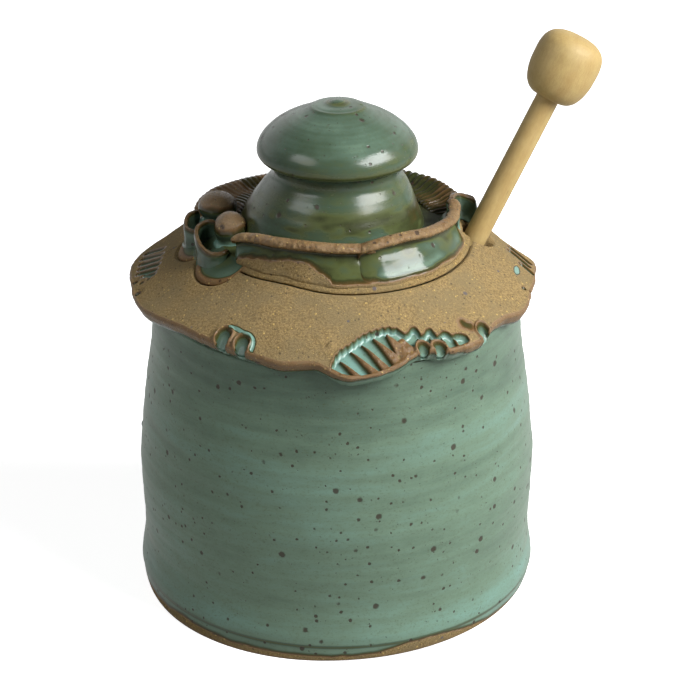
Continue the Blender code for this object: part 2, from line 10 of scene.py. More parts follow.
import bmesh
import bpy
import numpy as np
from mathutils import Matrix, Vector


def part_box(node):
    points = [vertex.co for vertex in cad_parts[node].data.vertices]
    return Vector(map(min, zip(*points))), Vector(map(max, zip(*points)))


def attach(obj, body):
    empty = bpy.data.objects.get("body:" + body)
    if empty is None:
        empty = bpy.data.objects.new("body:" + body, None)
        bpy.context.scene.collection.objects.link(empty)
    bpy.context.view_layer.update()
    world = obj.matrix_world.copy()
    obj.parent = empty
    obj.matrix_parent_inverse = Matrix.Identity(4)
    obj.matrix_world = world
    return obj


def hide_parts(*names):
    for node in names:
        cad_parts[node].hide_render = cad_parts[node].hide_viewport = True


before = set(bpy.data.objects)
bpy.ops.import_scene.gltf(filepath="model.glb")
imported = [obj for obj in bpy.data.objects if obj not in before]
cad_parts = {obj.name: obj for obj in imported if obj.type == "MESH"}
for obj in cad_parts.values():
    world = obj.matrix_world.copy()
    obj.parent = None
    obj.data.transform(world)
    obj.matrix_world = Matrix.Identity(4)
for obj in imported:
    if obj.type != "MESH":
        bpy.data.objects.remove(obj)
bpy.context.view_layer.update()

MM = 0.001


def box_mm(node):
    """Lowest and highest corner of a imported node, in millimetres."""
    low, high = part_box(node)
    return np.array(low) / MM, np.array(high) / MM


# Sizes read from the frame
CLEARANCE = 0.3
FOOT_RADIUS = box_mm("pot_body")[1][0]
LID_TOP = box_mm("lid_knob")[0][2] - CLEARANCE
KNOB_TOP = box_mm("lid_knob")[1][2]
SEAM_RADIUS = box_mm("lid_plate")[1][1]

# Slab of the collar and the lid
SEAM_SHIFT = 1.3
SEAM_FLAT = 1.0
SEAM_HEIGHT = 102.3
SEAM_GAP = 0.6
SLAB_FALL = 0.6
SLAB_THICKNESS = 5.4
SEAT_BEVEL = 4.0
RIM_ROUNDING = 1.1
LID_ROUNDING = 0.9
LID_HOLE_RADIUS = 20.0
KEY_LOBES = ((-152, 14, 7.6), (-177, 14, 9.2))

# Jar: wall, floor, straight neck, and the radius at which its noise is read
WALL = 5.5
FLOOR = 7.0
NECK_RADIUS = 50.4
NECK_TOP = 87.0
BODY_RADIUS = 54.0

# Dipper: where its axis passes the slab, lean, and sizes along the axis
DIPPER_PASS = np.array((38.0, 4.0, 100.0))
DIPPER_TILT = 31.6
DIPPER_AZIMUTH = 30.0
ROD_RADIUS = 3.2
HOLE_RADIUS = 4.9
GRIP_CENTRE = 52.0
GRIP_LENGTH = 20.0
GRIP_RADIUS = 9.0
HEAD_LENGTH = 26.0
HEAD_RADIUS = 9.5
HEAD_CORE = 6.1
HEAD_GROOVES = 5
ROD_SEATING = 6.0

# Amounts of glaze that several pieces share
BARE = 0.02
BROWN = 0.20
OLIVE = 0.36
SAGE = 0.80
AQUA = 0.90

# Numbers that scatter the cells of the value noise
CELL_STEPS = np.array((73856093, 19349663, 83492791))
CELL_SCATTER = 2654435761
CELL_VALUES = 1000003


# Small tools

def ease(value, low, high):
    """Smooth step from 0 at low to 1 at high."""
    t = np.clip((value - low) / (high - low), 0, 1)
    return t * t * (3 - 2 * t)


def toward(value, goal, share):
    """A value moved towards a goal by a share of the way."""
    return value + (goal - value) * share


def layered(glaze, *layers):
    """A glaze with others laid over it, each as (amount, share)."""
    for amount, share in layers:
        glaze = toward(glaze, amount, share)
    return glaze


def peak(value, centre, width):
    """Bell that rises to 1 at the centre."""
    return np.exp(-((value - centre) / width) ** 2)


def smooth_value(place, knots, column=1):
    """Smooth curve through knots of a place and its values, level past both ends."""
    knots = np.asarray(knots, float)
    places = knots[:, 0]
    values = knots[:, column]
    slopes = np.gradient(values, places)
    place = np.clip(place, places[0], places[-1])
    index = np.clip(np.searchsorted(places, place, side="right") - 1, 0, len(places) - 2)
    width = places[index + 1] - places[index]
    t = (place - places[index]) / width
    return ((2 * t ** 3 - 3 * t ** 2 + 1) * values[index]
            + (t ** 3 - 2 * t ** 2 + t) * width * slopes[index]
            + (3 * t ** 2 - 2 * t ** 3) * values[index + 1]
            + (t ** 3 - t ** 2) * width * slopes[index + 1])


def around(azimuth, knots):
    """Smooth closed curve about the pot's axis, through (azimuth, value) knots."""
    looped = [(place + turn, value) for turn in (-360, 0, 360) for place, value in knots]
    return smooth_value((azimuth + 180) % 360 - 180, looped)


def curve_through(points, count):
    """Points at equal steps along a smooth curve through the given ones."""
    points = np.array(points, float)
    lengths = travelled(points)
    knots = np.column_stack([lengths, points])
    fine = np.linspace(0, lengths[-1], 16 * len(points))
    curve = np.stack([smooth_value(fine, knots, column) for column in (1, 2)], axis=1)
    passed = travelled(curve)
    even = np.linspace(0, passed[-1], count)
    return np.stack([np.interp(even, passed, column) for column in curve.T], axis=1)


def travelled(points):
    """Length of the path up to each of its points."""
    return np.concatenate([[0], np.cumsum(np.linalg.norm(np.diff(points, axis=0), axis=1))])


def sideways(line):
    """Unit vectors across a plan line, to its left."""
    run = np.gradient(line, axis=0)
    return np.stack([-run[:, 1], run[:, 0]], axis=1) / np.linalg.norm(run, axis=1, keepdims=True)


def rounded_ends(points, share, length, least):
    """A ribbon whose first and last rows narrow to round ends."""
    middle = points.mean(axis=1, keepdims=True)
    width = np.ones(len(points))
    for from_end in (share, 1 - share):
        width = np.minimum(width, np.sqrt(np.clip(1 - np.maximum(1 - from_end / length, 0) ** 2, 0, 1)))
    return middle + (points - middle) * np.maximum(width, least)[:, None, None]


def lumps(points, size, seed):
    """Smooth value noise from -1 to 1, with features about one size across."""
    place = np.asarray(points, float) / size + seed * 17.31
    cell = np.floor(place).astype(np.int64)
    t = ease(place - cell, 0, 1)
    total = np.zeros(place.shape[:-1])
    for corner in np.ndindex(2, 2, 2):
        key = np.bitwise_xor.reduce((cell + corner) * CELL_STEPS, axis=-1)
        value = (key * CELL_SCATTER) % CELL_VALUES / (CELL_VALUES / 2) - 1
        total += value * np.prod(np.where(corner, t, 1 - t), axis=-1)
    return total


def polar_points(azimuth, radius, height):
    """Points from azimuths in degrees, radii and heights."""
    angle = np.radians(azimuth)
    return np.stack(np.broadcast_arrays(radius * np.cos(angle), radius * np.sin(angle), height), axis=-1)


def inside_distance(x, y, outline):
    """Distance in from a closed outline; negative outside it."""
    least = np.full(x.shape, np.inf)
    inside = np.zeros(x.shape, bool)
    for (x1, y1), (x2, y2) in zip(outline, np.roll(outline, -1, axis=0)):
        run_x, run_y = x2 - x1, y2 - y1
        t = np.clip(((x - x1) * run_x + (y - y1) * run_y) / (run_x ** 2 + run_y ** 2 + 1e-12), 0, 1)
        least = np.minimum(least, np.hypot(x - x1 - t * run_x, y - y1 - t * run_y))
        crosses = (y1 > y) != (y2 > y)
        inside ^= crosses & (x < x1 + (y - y1) * run_x / (run_y if run_y else 1e-12))
    return np.where(inside, least, -least)


def bar_distance(x, y, start, end, start_half, end_half):
    """Distance in from the edge of a tapering bar; negative outside it."""
    x = x - start[0]
    y = y - start[1]
    run_x = end[0] - start[0]
    run_y = end[1] - start[1]
    t = np.clip((x * run_x + y * run_y) / (run_x ** 2 + run_y ** 2), 0, 1)
    return toward(start_half, end_half, t) - np.hypot(x - t * run_x, y - t * run_y)


def seam_circle(azimuth):
    """Radius of the seam without its lobes."""
    flattened = SEAM_FLAT * peak(azimuth, -113, 15)
    return SEAM_RADIUS + SEAM_SHIFT * np.cos(np.radians(azimuth)) - flattened


def lid_edge(azimuth):
    """Radius of the seam between lid and collar, with its two key lobes."""
    reach = np.zeros_like(azimuth, dtype=float)
    for centre, half_width, lobe_reach in KEY_LOBES:
        off = np.abs((azimuth - centre + 180) % 360 - 180) / half_width
        reach = np.maximum(reach, lobe_reach * np.sqrt(np.clip(1 - off ** 2, 0, 1)))
    return seam_circle(azimuth) + reach


def slab_top(radius):
    """Height of the sloping slab's upper face."""
    return SEAM_HEIGHT - SLAB_FALL * (radius - SEAM_RADIUS)


def dipper_direction():
    """Unit vector up the leaning dipper."""
    tilt = math.radians(DIPPER_TILT)
    angle = math.radians(DIPPER_AZIMUTH)
    return np.array((math.sin(tilt) * math.cos(angle), math.sin(tilt) * math.sin(angle), math.cos(tilt)))


def dipper_at_height(height):
    """Where the dipper's axis crosses a height."""
    direction = dipper_direction()
    return DIPPER_PASS + direction * (height - DIPPER_PASS[2]) / direction[2]


def hole_reach(azimuth, height, far_side):
    """Radius at which a ray from the pot's axis meets the dipper's hole at a height, or nan."""
    lean = math.radians(DIPPER_AZIMUTH)
    stretch = 1 / math.cos(math.radians(DIPPER_TILT))
    angle = np.radians(azimuth)

    def turned(x, y):
        along = (x * math.cos(lean) + y * math.sin(lean)) / stretch
        return along, -x * math.sin(lean) + y * math.cos(lean)

    centre = dipper_at_height(height)
    along, across = turned(np.cos(angle), np.sin(angle))
    centre_along, centre_across = turned(centre[0], centre[1])
    a = along ** 2 + across ** 2
    b = -2 * (along * centre_along + across * centre_across)
    c = centre_along ** 2 + centre_across ** 2 - HOLE_RADIUS ** 2
    inside = b ** 2 - 4 * a * c
    root = np.sqrt(np.maximum(inside, 0))
    reach = (-b + (root if far_side else -root)) / (2 * a)
    facing = np.cos(angle) * centre[0] + np.sin(angle) * centre[1] > 0
    return np.where((inside > 0) & facing, reach, np.nan)


# Meshes

def grid_piece(name, points, glaze, ring=False, local=None):
    """Smooth mesh from rows of closed loops, capped or joined into a ring, with its glaze as an attribute."""
    rows, columns = points.shape[:2]
    index = np.arange(rows * columns).reshape(rows, columns)
    index = np.concatenate([index, index[:, :1]], axis=1)
    if ring:
        index = np.concatenate([index, index[:1]], axis=0)
    quads = np.stack([index[:-1, :-1], index[1:, :-1], index[1:, 1:], index[:-1, 1:]], axis=-1)
    faces = quads.reshape(-1, 4).tolist()
    vertices = points.reshape(-1, 3)
    values = np.broadcast_to(glaze, (rows, columns)).ravel()
    caps = () if ring else ((index[0], 1), (index[-1], -1))
    for loop, way in caps:
        centre = len(vertices)
        vertices = np.concatenate([vertices, vertices[loop[:-1]].mean(axis=0, keepdims=True)])
        values = np.concatenate([values, values[loop[:1]]])
        faces += [[centre, *pair[::way]] for pair in zip(loop[:-1], loop[1:])]
    mesh = bpy.data.meshes.new(name)
    mesh.from_pydata((vertices * MM).tolist(), [], faces)
    attribute = mesh.attributes.new("glaze", "FLOAT", "POINT")
    attribute.data.foreach_set("value", values.astype(np.float32))
    if local is not None:
        flat = local.reshape(-1, 3)
        flat = np.concatenate([flat, np.repeat(flat[-1:], len(vertices) - len(flat), axis=0)])
        grain = mesh.attributes.new("grain", "FLOAT_VECTOR", "POINT")
        grain.data.foreach_set("vector", (flat * MM).astype(np.float32).ravel())
    mesh.shade_smooth()
    mesh.validate()
    if mesh_volume(mesh) < 0:
        mesh.flip_normals()
    return add_object(name, mesh)


def add_object(name, data):
    """A new object in the scene."""
    made = bpy.data.objects.new(name, data)
    bpy.context.scene.collection.objects.link(made)
    return made


def mesh_volume(mesh):
    """Signed volume of a closed mesh."""
    solid = bmesh.new()
    solid.from_mesh(mesh)
    volume = solid.calc_volume(signed=True)
    solid.free()
    return volume


def dress(piece, body, slot, material, *nodes):
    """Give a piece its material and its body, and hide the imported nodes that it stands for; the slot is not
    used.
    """
    piece.data.materials.append(material)
    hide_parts(*nodes)
    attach(piece, body)


# Shader tools

class Value:
    """A shader node's result, from which sums, products and further nodes are made."""

    def __init__(self, tree, socket):
        self.tree = tree
        self.socket = socket

    def output(self, name):
        """Another result of the same node."""
        return Value(self.tree, self.socket.node.outputs[name])

    def maths(self, operation, *others, clamp=False):
        """A math node's result."""
        return node(self.tree, "Math", 0, (self, *others), operation=operation, use_clamp=clamp)

    def __add__(self, other):
        return self.maths("ADD", other)

    def __sub__(self, other):
        return self.maths("SUBTRACT", other)

    def __mul__(self, other):
        return self.maths("MULTIPLY", other)

    def most(self, other):
        """The greater of two values."""
        return self.maths("MAXIMUM", other)

    def spread(self, low, high, low_result=0.0, high_result=1.0):
        """A smooth map of the value's range onto another."""
        inputs = (self, low, high, low_result, high_result)
        return node(self.tree, "MapRange", 0, inputs, interpolation_type="SMOOTHSTEP")

    def blend(self, first, second):
        """A mix of two colours, by this value."""
        return node(self.tree, "Mix", 2, {0: self, 6: first, 7: second}, data_type="RGBA")

    def scaled(self, *scale):
        """A vector times a scale for each axis."""
        return node(self.tree, "VectorMath", 0, (self, scale), operation="MULTIPLY")

    def noise(self, size, detail=2.0, roughness=0.5, distortion=0.0):
        """Noise at a place, with features of a size in millimetres, from about 0 to 1."""
        return node(self.tree, "TexNoise", "Fac", {
            "Vector": self, "Scale": 1 / (size * MM), "Detail": detail, "Roughness": roughness,
            "Distortion": distortion})

    def specks(self, spacing, radius, keep):
        """Round specks scattered in space: 1 in a speck, 0 outside; keep is the share of cells used."""
        near = node(self.tree, "TexVoronoi", "Distance", {"Scale": 1 / (spacing * MM), "Vector": self})
        first = node(self.tree, "SeparateColor", 0, (near.output("Color"),))
        chosen = first.maths("LESS_THAN", keep)
        size = first.output(1).maths("MULTIPLY_ADD", 1 - LEAST_SPECK, LEAST_SPECK)
        return near.maths("DIVIDE", size * (radius / spacing)).spread(1.0, 0.55) * chosen

    def ramp(self, stops):
        """A colour ramp's result; stops are (place, colour)."""
        made = node(self.tree, "ValToRGB", 0, (self,))
        elements = made.socket.node.color_ramp.elements
        while len(elements) < len(stops):
            elements.new(0.5)
        for element, (place, colour) in zip(elements, stops):
            element.position = place
            element.color = (*colour, 1.0)
        return made

    def bump(self, distance, **under):
        """A bumped normal, from a height of 0 to 1 times a distance in millimetres."""
        return node(self.tree, "Bump", 0, {"Distance": distance * MM, "Height": self, **under})


def node(tree, kind, output, inputs=(), **settings):
    """A result of a new node; its inputs are values or constants, in order or by name."""
    made = tree.nodes.new("ShaderNode" + kind)
    for name, setting in settings.items():
        setattr(made, name, setting)
    for name, value in inputs.items() if isinstance(inputs, dict) else enumerate(inputs):
        connect(tree, made.inputs[name], value)
    return Value(tree, made.outputs[output])


def connect(tree, socket, value):
    """Link a socket to a value, or set its number, vector or colour."""
    if isinstance(value, Value):
        tree.links.new(value.socket, socket)
    else:
        socket.default_value = (*value, 1.0) if socket.type == "RGBA" else value


def new_material(name):
    """An empty Principled material and its tree."""
    material = bpy.data.materials.new(name)
    material.use_nodes = True
    return material, material.node_tree


def set_shader(tree, inputs):
    """Give the Principled shader its values and constants, by socket."""
    for name, value in inputs.items():
        connect(tree, tree.nodes["Principled BSDF"].inputs[name], value)


# Size of the smallest specks, as a share of the largest
LEAST_SPECK = 0.4

# Glaze colours from bare brown to pooled aqua
GLAZE_STOPS = (
    (0.10, (0.280, 0.180, 0.084)),
    (0.24, (0.180, 0.098, 0.038)),
    (0.35, (0.062, 0.046, 0.013)),
    (0.44, (0.040, 0.048, 0.016)),
    (0.52, (0.086, 0.104, 0.036)),
    (0.60, (0.062, 0.098, 0.060)),
    (0.70, (0.094, 0.150, 0.106)),
    (0.80, (0.153, 0.236, 0.166)),
    (0.90, (0.180, 0.310, 0.250)),
    (0.95, (0.200, 0.370, 0.320)),
    (1.00, (0.460, 0.600, 0.540)),
)
SPECK_COLOUR = (0.040, 0.022, 0.014)
DUST_COLOUR = (0.085, 0.095, 0.040)
CLAY_COLOUR = (0.385, 0.270, 0.115)
CLAY_DARK = (0.200, 0.135, 0.054)
CLAY_ASH = (0.245, 0.185, 0.090)
CLAY_PIT = (0.060, 0.045, 0.032)
GROG_COLOUR = (0.600, 0.420, 0.140)
BLUE_SPECK = (0.090, 0.090, 0.130)

# Wood colours: across the growth rings, then fibres, pale clouds and flecks
BIRCH_STOPS = ((0.30, (0.43, 0.288, 0.100)), (0.52, (0.49, 0.350, 0.135)), (0.72, (0.53, 0.390, 0.160)))
BIRCH_FIBRE = (0.36, 0.23, 0.085)
BIRCH_PALE = (0.59, 0.455, 0.215)
BIRCH_FLECK = (0.22, 0.12, 0.05)

# Kinds of stoneware: name, roughness of its glaze, streaks, mottling, share of specks, shine, roughness
# that olive glaze adds, and roughness where the glaze ends
STONEWARE_KINDS = (
    ("sage_stoneware", 0.33, 0.13, 0.07, 1.0, 0.30, 0.0, 0.42),
    ("knob_stoneware", 0.20, 0.13, 0.15, 0.9, 0.42, 0.08, 0.42),
    ("glossy_stoneware", 0.16, 0.08, 0.15, 0.45, 0.33, 0.0, 0.42),
    ("bead_stoneware", 0.14, 0.08, 0.15, 0.3, 0.50, 0.0, 0.24),
    ("slab_stoneware", 0.20, 0.04, 0.10, 0.3, 0.35, 0.0, 0.42),
    ("plate_stoneware", 0.50, 0.04, 0.10, 0.3, 0.12, 0.0, 0.42),
)


def stoneware(name, gloss, streaks, mottling, speck_share, shine, dry, edge):
    """Glazed and bare stoneware, told apart by the glaze attribute."""
    material, tree = new_material(name)
    place = node(tree, "TexCoord", "Object")
    amount = node(tree, "Attribute", "Fac", attribute_name="glaze")
    thick, drift, glazed = glaze_colour(place, amount, streaks, mottling)
    spots = iron_specks(place, speck_share)
    glazed = (spots * 0.85).blend(glazed, SPECK_COLOUR)
    clay, fine, pale, dark = bare_clay(place)

    thin = thick.spread(0.30, 0.16)
    glazed = (pale * thin * 0.75).blend(glazed, GROG_COLOUR)
    glazed = (dark * thin * 0.8).blend(glazed, CLAY_PIT)
    colour = amount.spread(0.10, 0.03).blend(glazed, clay)
    smooth = amount.spread(0.12, 0.32, edge, gloss) + spots * 0.12 + thick.spread(0.64, 0.54, 0.0, dry)
    rough = smooth.maths("ADD", amount.spread(0.12, 0.04) * 0.4, clamp=True)
    grain_share = amount.spread(0.35, 0.10)
    grain = (fine + pale * 0.3) * grain_share
    shaped = drift.bump(0.04, Normal=grain.bump(0.34))
    shaped = (spots * -1.0).bump(0.08, Normal=shaped)
    set_shader(tree, {"Base Color": colour, "Roughness": rough, "Specular IOR Level": shine,
                      "Normal": shaped})
    return material


def glaze_colour(place, amount, streaks, mottling):
    """Thickness of the glaze, its fine level bands, and the colour that it gives."""
    mottle = place.noise(5.0, detail=4.0, roughness=0.6)
    drift = place.scaled(0.14, 0.14, 1.0).noise(1.7, detail=4.0, roughness=0.65)
    broad = place.scaled(0.3, 0.3, 1.0).noise(9.0)
    waver = (mottle - 0.5) * mottling
    lines = (drift - 0.5) * streaks
    bands = (broad - 0.5) * streaks
    thick = amount + waver + (lines + bands)
    colour = thick.ramp(GLAZE_STOPS)
    dust = place.scaled(0.7, 0.7, 1.0).noise(0.55, detail=3.0, roughness=0.7)
    return thick, drift, dust.spread(0.50, 0.74, 0.0, 0.45).blend(colour, DUST_COLOUR)


def iron_specks(place, share):
    """Ragged iron specks of three sizes."""
    wobble = node(place.tree, "VectorMath", 0, (place,), operation="ADD")
    ragged = node(place.tree, "TexNoise", "Color", {"Vector": place, "Scale": 1100})
    connect(place.tree, wobble.socket.node.inputs[1], ragged.scaled(0.0006, 0.0006, 0.0006))
    large = wobble.specks(5.2, 1.2, 0.6 * share)
    medium = wobble.specks(2.8, 0.66, 0.6 * share)
    small = wobble.specks(1.5, 0.32, 0.5 * share) * 0.55
    return large.most(medium).most(small)


def bare_clay(place):
    """Colour of the bare clay, its fine grain, and its pale and dark crumbs."""
    fine = place.noise(0.6, detail=4.0, roughness=0.75)
    cloud = place.noise(9.0, detail=5.0, roughness=0.65)
    clay = fine.spread(0.36, 0.64).blend(CLAY_DARK, CLAY_COLOUR)
    clay = cloud.spread(0.38, 0.64, 0.0, 0.75).blend(clay, CLAY_ASH)
    grog = place.specks(1.5, 0.42, 0.6)
    crumbs = place.scaled(1.1, 0.93, 1.0).specks(0.62, 0.24, 0.6)
    pale = grog.most(crumbs * 0.45)
    clay = (pale * 0.85).blend(clay, GROG_COLOUR)
    dark = place.scaled(1.03, 0.97, 1.01).specks(1.5, 0.42, 0.5)
    clay = (dark * 0.7).blend(clay, CLAY_PIT)
    blue = place.scaled(0.95, 1.02, 1.04).specks(6.5, 0.85, 0.6)
    return (blue * 0.75).blend(clay, BLUE_SPECK), fine, pale, dark


def birch():
    """Pale unvarnished birch, its grain running along the dipper's own axis."""
    material, tree = new_material("birch")
    place = node(tree, "Attribute", "Vector", attribute_name="grain")
    fibre = place.scaled(1.0, 1.0, 0.3).noise(0.5, detail=5.0, roughness=0.72)
    rings = place.scaled(0.8, 0.35, 0.12).noise(4.2, detail=3.0, distortion=0.8)
    cloud = place.noise(6.0, detail=3.0)
    colour = rings.ramp(BIRCH_STOPS)
    colour = fibre.spread(0.36, 0.64, 0.32, 0.0).blend(colour, BIRCH_FIBRE)
    colour = cloud.spread(0.45, 0.75, 0.0, 0.3).blend(colour, BIRCH_PALE)
    flecks = place.scaled(1.0, 1.0, 0.25).specks(1.5, 0.22, 0.35)
    colour = (flecks * 0.35).blend(colour, BIRCH_FLECK)
    rough = fibre.spread(0.3, 0.7, 0.62, 0.5)
    set_shader(tree, {"Base Color": colour, "Roughness": rough, "Normal": fibre.bump(0.09)})
    return material


# Jar

# Outside of the jar and of its foot: radius, height
BODY_PROFILE = (
    (54.85, 5.0), (54.62, 7.5), (54.1, 10.5), (53.72, 14.0), (53.65, 18.0), (53.95, 24.0),
    (54.3, 31.0), (54.5, 38.5), (53.95, 45.0), (53.5, 51.3), (52.8, 57.5), (52.0, 63.8),
    (51.1, 70.0), (50.55, 76.2), (NECK_RADIUS, 82.0), (NECK_RADIUS, NECK_TOP))
FOOT_PROFILE = ((51.9, 0.0), (52.9, 0.25), (53.8, 1.2), (54.35, 2.8), (54.6, 4.2), (54.85, 5.0))

# Inside, from below the rim down to the floor: radius, height
INSIDE_PROFILE = (
    (NECK_RADIUS - WALL, 89.0), (45.9, 75.0), (47.4, 60.0), (49.0, 38.0), (48.3, 18.0), (46.5, 10.5),
    (41.0, FLOOR + 0.3), (30.0, FLOOR))

# Share of the foot's inset that shows: azimuth, share
FOOT_INSET = ((-175, 0.5), (-155, 0.1), (-105, 0.1), (-80, 0.6), (-60, 0.9), (0, 1.0), (90, 1.0))

# Shallow dent under the leaf: azimuth, height, half width, half height, depth
SHOULDER_DENT = (-60.0, 90.0, 14.0, 8.5, 4.0)

# Small marks: azimuth, height, size, depth
BODY_MARKS = ((-126.8, 44.5, 0.8, 0.55), (-118.5, 41.2, 0.8, 0.6), (180.0, 44.0, 0.9, -0.35))

# Height up to which the foot is bare clay: azimuth, height
BARE_HEIGHT = (
    (-175, 1.6), (-150, 1.8), (-138, 2.3), (-122, 1.8), (-105, 1.5), (-92, 1.6), (-84, 1.8),
    (-76, 2.4), (-69, 3.9), (-62, 4.3), (-54, 3.3), (-45, 2.2), (-25, 1.6), (0, 2.0), (60, 2.4),
    (120, 1.8))


def body_relief(azimuth, height):
    """Throwing rings, slow swells, small marks and one dent on the jar's outside."""
    points = polar_points(azimuth, BODY_RADIUS, height)
    turn = azimuth / 360
    fine = 0.02 * np.sin(2 * np.pi * (height / 2.9 + turn))
    rings = 0.04 * np.sin(2 * np.pi * (height / 6.3 - turn)) + fine
    swell = 0.22 * lumps(points, 26.0, 3) + 0.07 * lumps(points, 7.0, 4)
    pits = np.zeros(np.broadcast(azimuth, height).shape)
    for place, level, size, depth in BODY_MARKS:
        near = np.hypot((azimuth - place) * np.pi / 180 * BODY_RADIUS, height - level) / size
        pits -= depth * peak(near, 0, 1) - 0.45 * depth * peak(near, 1.5, 0.5)
    place, level, half_width, half_height, depth = SHOULDER_DENT
    across = (azimuth - place) * np.pi / 180 * BODY_RADIUS / half_width
    dent = depth * np.exp(-across ** 2 - ((height - level) / half_height) ** 2)
    return rings + swell + pits - dent


def make_pot_body():
    """Thrown jar, glazed inside and out down to a bare foot."""
    outer = curve_through(BODY_PROFILE, 150)
    foot = curve_through(FOOT_PROFILE, 22)[:-1]
    top, low = BODY_PROFILE[-1], INSIDE_PROFILE[0]
    rim = curve_through((top, (49.2, 87.7), (46.5, 89.3), (low[0] + 0.3, 90.0), low), 14)
    base = np.array([(8.0, 0.0), (30.0, 0.0), (46.0, 0.0)])
    floor = np.array([(15.0, FLOOR), (4.0, FLOOR)])
    profile = np.concatenate([base, foot, outer, rim[1:-1], curve_through(INSIDE_PROFILE, 60), floor])
    azimuth = np.arange(0, 360, 1.5)[None, :]
    radius = profile[:, :1]
    height = profile[:, 1:]
    row = np.arange(len(profile))[:, None]
    first = len(base) + len(foot)
    last = first + len(outer)
    at_foot = (row >= len(base)) & (row < first)
    radius = FOOT_RADIUS + (radius - FOOT_RADIUS) * (1 + at_foot * (around(azimuth, FOOT_INSET) - 1))
    on_outside = np.zeros(len(profile))
    on_outside[len(base):first] = np.linspace(0, 1, len(foot))
    on_outside[first:last] = 1
    on_outside[last:last + 4] = (0.8, 0.5, 0.2, 0.0)
    radius = radius + on_outside[:, None] * body_relief(azimuth, height) * ease(height, 3.0, 9.0)

    glaze = np.where(row < last, body_glaze(azimuth, height), SAGE)
    glaze[:len(base)] = 0.0
    glaze[last:last + 8] = BARE
    return grid_piece("pot_body_shell", polar_points(azimuth, radius, height), glaze)


def body_glaze(azimuth, height):
    """Glaze on the jar's outside: bare foot, olive line at its edge, then sage, darker towards the neck and
    under the collar as partly painted shade.
    """
    points = polar_points(azimuth, BODY_RADIUS, height)
    flowing = points * (0.1, 0.1, 1.0)
    edge = around(azimuth, BARE_HEIGHT) + 0.35 * lumps(points, 3.0, 11) + 0.25 * lumps(points, 9.0, 12)
    above = height - edge
    # Darker glaze towards the neck, and more under the collar except at the front right: painted shade where
    # the collar shades the jar, partly the glaze's own darker green.
    glaze = SAGE + 0.03 * lumps(points * (1, 1, 3.0), 30.0, 6) - 0.03 * ease(height, 48.0, 72.0)
    glaze = glaze - 0.06 * ease(height, 68.0, 86.0) * ease(azimuth % 360, 292.0, 276.0)
    glaze = glaze + 0.035 * lumps(flowing, 2.2, 13) * ease(height, 30.0, 50.0)
    glaze = glaze + 0.03 * lumps(flowing, 6.0, 14)
    glaze = glaze + 0.07 * peak(height, 8.0, 3.2) * (0.5 + 0.5 * lumps(points, 14.0, 7))
    glaze = np.where(above < 1.3, toward(0.30, glaze, ease(above, 0.25, 1.3)), glaze)
    line = peak(height, 4.75, 0.42) * (0.75 + 0.25 * lumps(points, 6.0, 8))
    glaze = toward(glaze, 0.40, np.clip(line, 0, 1) * ease(above, -0.1, 0.3))
    glaze = np.where(above < 0, 0.0, glaze)
    return np.maximum(glaze, 0.22 * peak(height, 0.0, 0.5) * (above < 0.6))


# Collar

# Radius of the rim's upper edge: azimuth, radius
COLLAR_RIM = (
    (-174.5, 56.4), (-168, 56.6), (-158, 56.3), (-149, 54.6), (-142, 53.5), (-129, 53.1), (-118, 53.1),
    (-106, 54.2), (-94, 54.1), (-91.5, 55.3), (-88, 56.8), (-82, 57.1), (-77, 56.4), (-72, 55.2),
    (-66, 53.4), (-62, 53.8), (-58, 54.9), (-51, 55.4), (-45, 55.4), (-38, 53.6), (-33, 53.3),
    (-24, 55.3), (-17, 54.9), (-12, 54.3), (-10, 54.4), (1, 54.8), (5, 55.3), (9, 55.1), (12, 54.0),
    (15, 52.3), (20, 51.0), (28, 49.9), (36, 49.9), (44, 51.4), (56, 54.8), (64, 55.4), (96, 53.8),
    (125, 54.6), (145, 53.6), (155, 53.6), (161, 55.2), (167, 56.8), (179, 56.9))

# How far the slab's rim sags: azimuth, drop; and at the leaf: azimuth, half width, drop
RIM_SAG = (
    (-90, 0.8), (-70, 0.2), (-30, 0.0), (2, 0.0), (7, 0.1), (10, 0.5), (13, 1.5), (16, 3.1), (20, 4.4),
    (28, 5.2), (36, 4.6), (46, 2.4), (60, 0.0), (110, 0.1), (130, 0.5), (146, 1.0), (156, 1.0),
    (163, 0.4), (172, 0.0))
LEAF_SAG = (-80, 11, 0.8)

# Loop stamps, scooped through the rim: azimuth, half width, reach in from the rim
LOOPS = ((-125.4, 1.95, 4.1), (-118.6, 1.85, 3.7), (-64.0, 1.45, 2.5), (-59.2, 1.5, 2.7),
         (-43.1, 1.75, 3.6))
LOOP_LIP = 0.42
LOOP_LIP_HEIGHT = 0.55

# Where the collar is stamped, from azimuth to azimuth, and the steps of its columns there and elsewhere
STAMPED = ((-140, -112), (-96, -38), (165, 196), (-16, 12))
STAMPED_STEP = 0.22
PLAIN_STEP = 0.8

# Large leaf: saw edge, scalloped edge, then back along the rim
LEAF_SAW_EDGE = ((-1.9, -56.3), (-1.4, -54.5), (0.7, -50.9), (3.5, -49.0), (6.5, -46.6), (9.8, -44.9),
                 (13.5, -43.5), (16.4, -43.4))
LEAF_SCALLOPS = (
    (18.0, -44.3), (18.9, -43.6), (19.7, -42.2), (20.6, -41.8), (21.5, -42.5), (22.2, -43.5),
    (23.0, -43.1), (23.8, -41.6), (24.7, -41.1), (25.6, -41.9), (26.4, -42.6), (27.3, -41.8),
    (28.2, -40.8), (29.3, -40.8), (30.4, -41.3), (31.6, -40.5), (33.0, -39.9), (34.4, -40.1),
    (35.0, -41.0))
LEAF_RIM_EDGE = ((33.6, -43.4), (30.5, -47.0), (25.0, -50.5), (19.0, -53.5), (13.0, -57.2), (6.0, -59.5),
                 (0.0, -59.0))
LEAF_DEPTH = 1.5
LEAF_RIDGE_HEIGHT = 0.30
LEAF_LIP_HEIGHT = 0.28
SAW_TEETH = 13
SAW_SIZE = 0.38

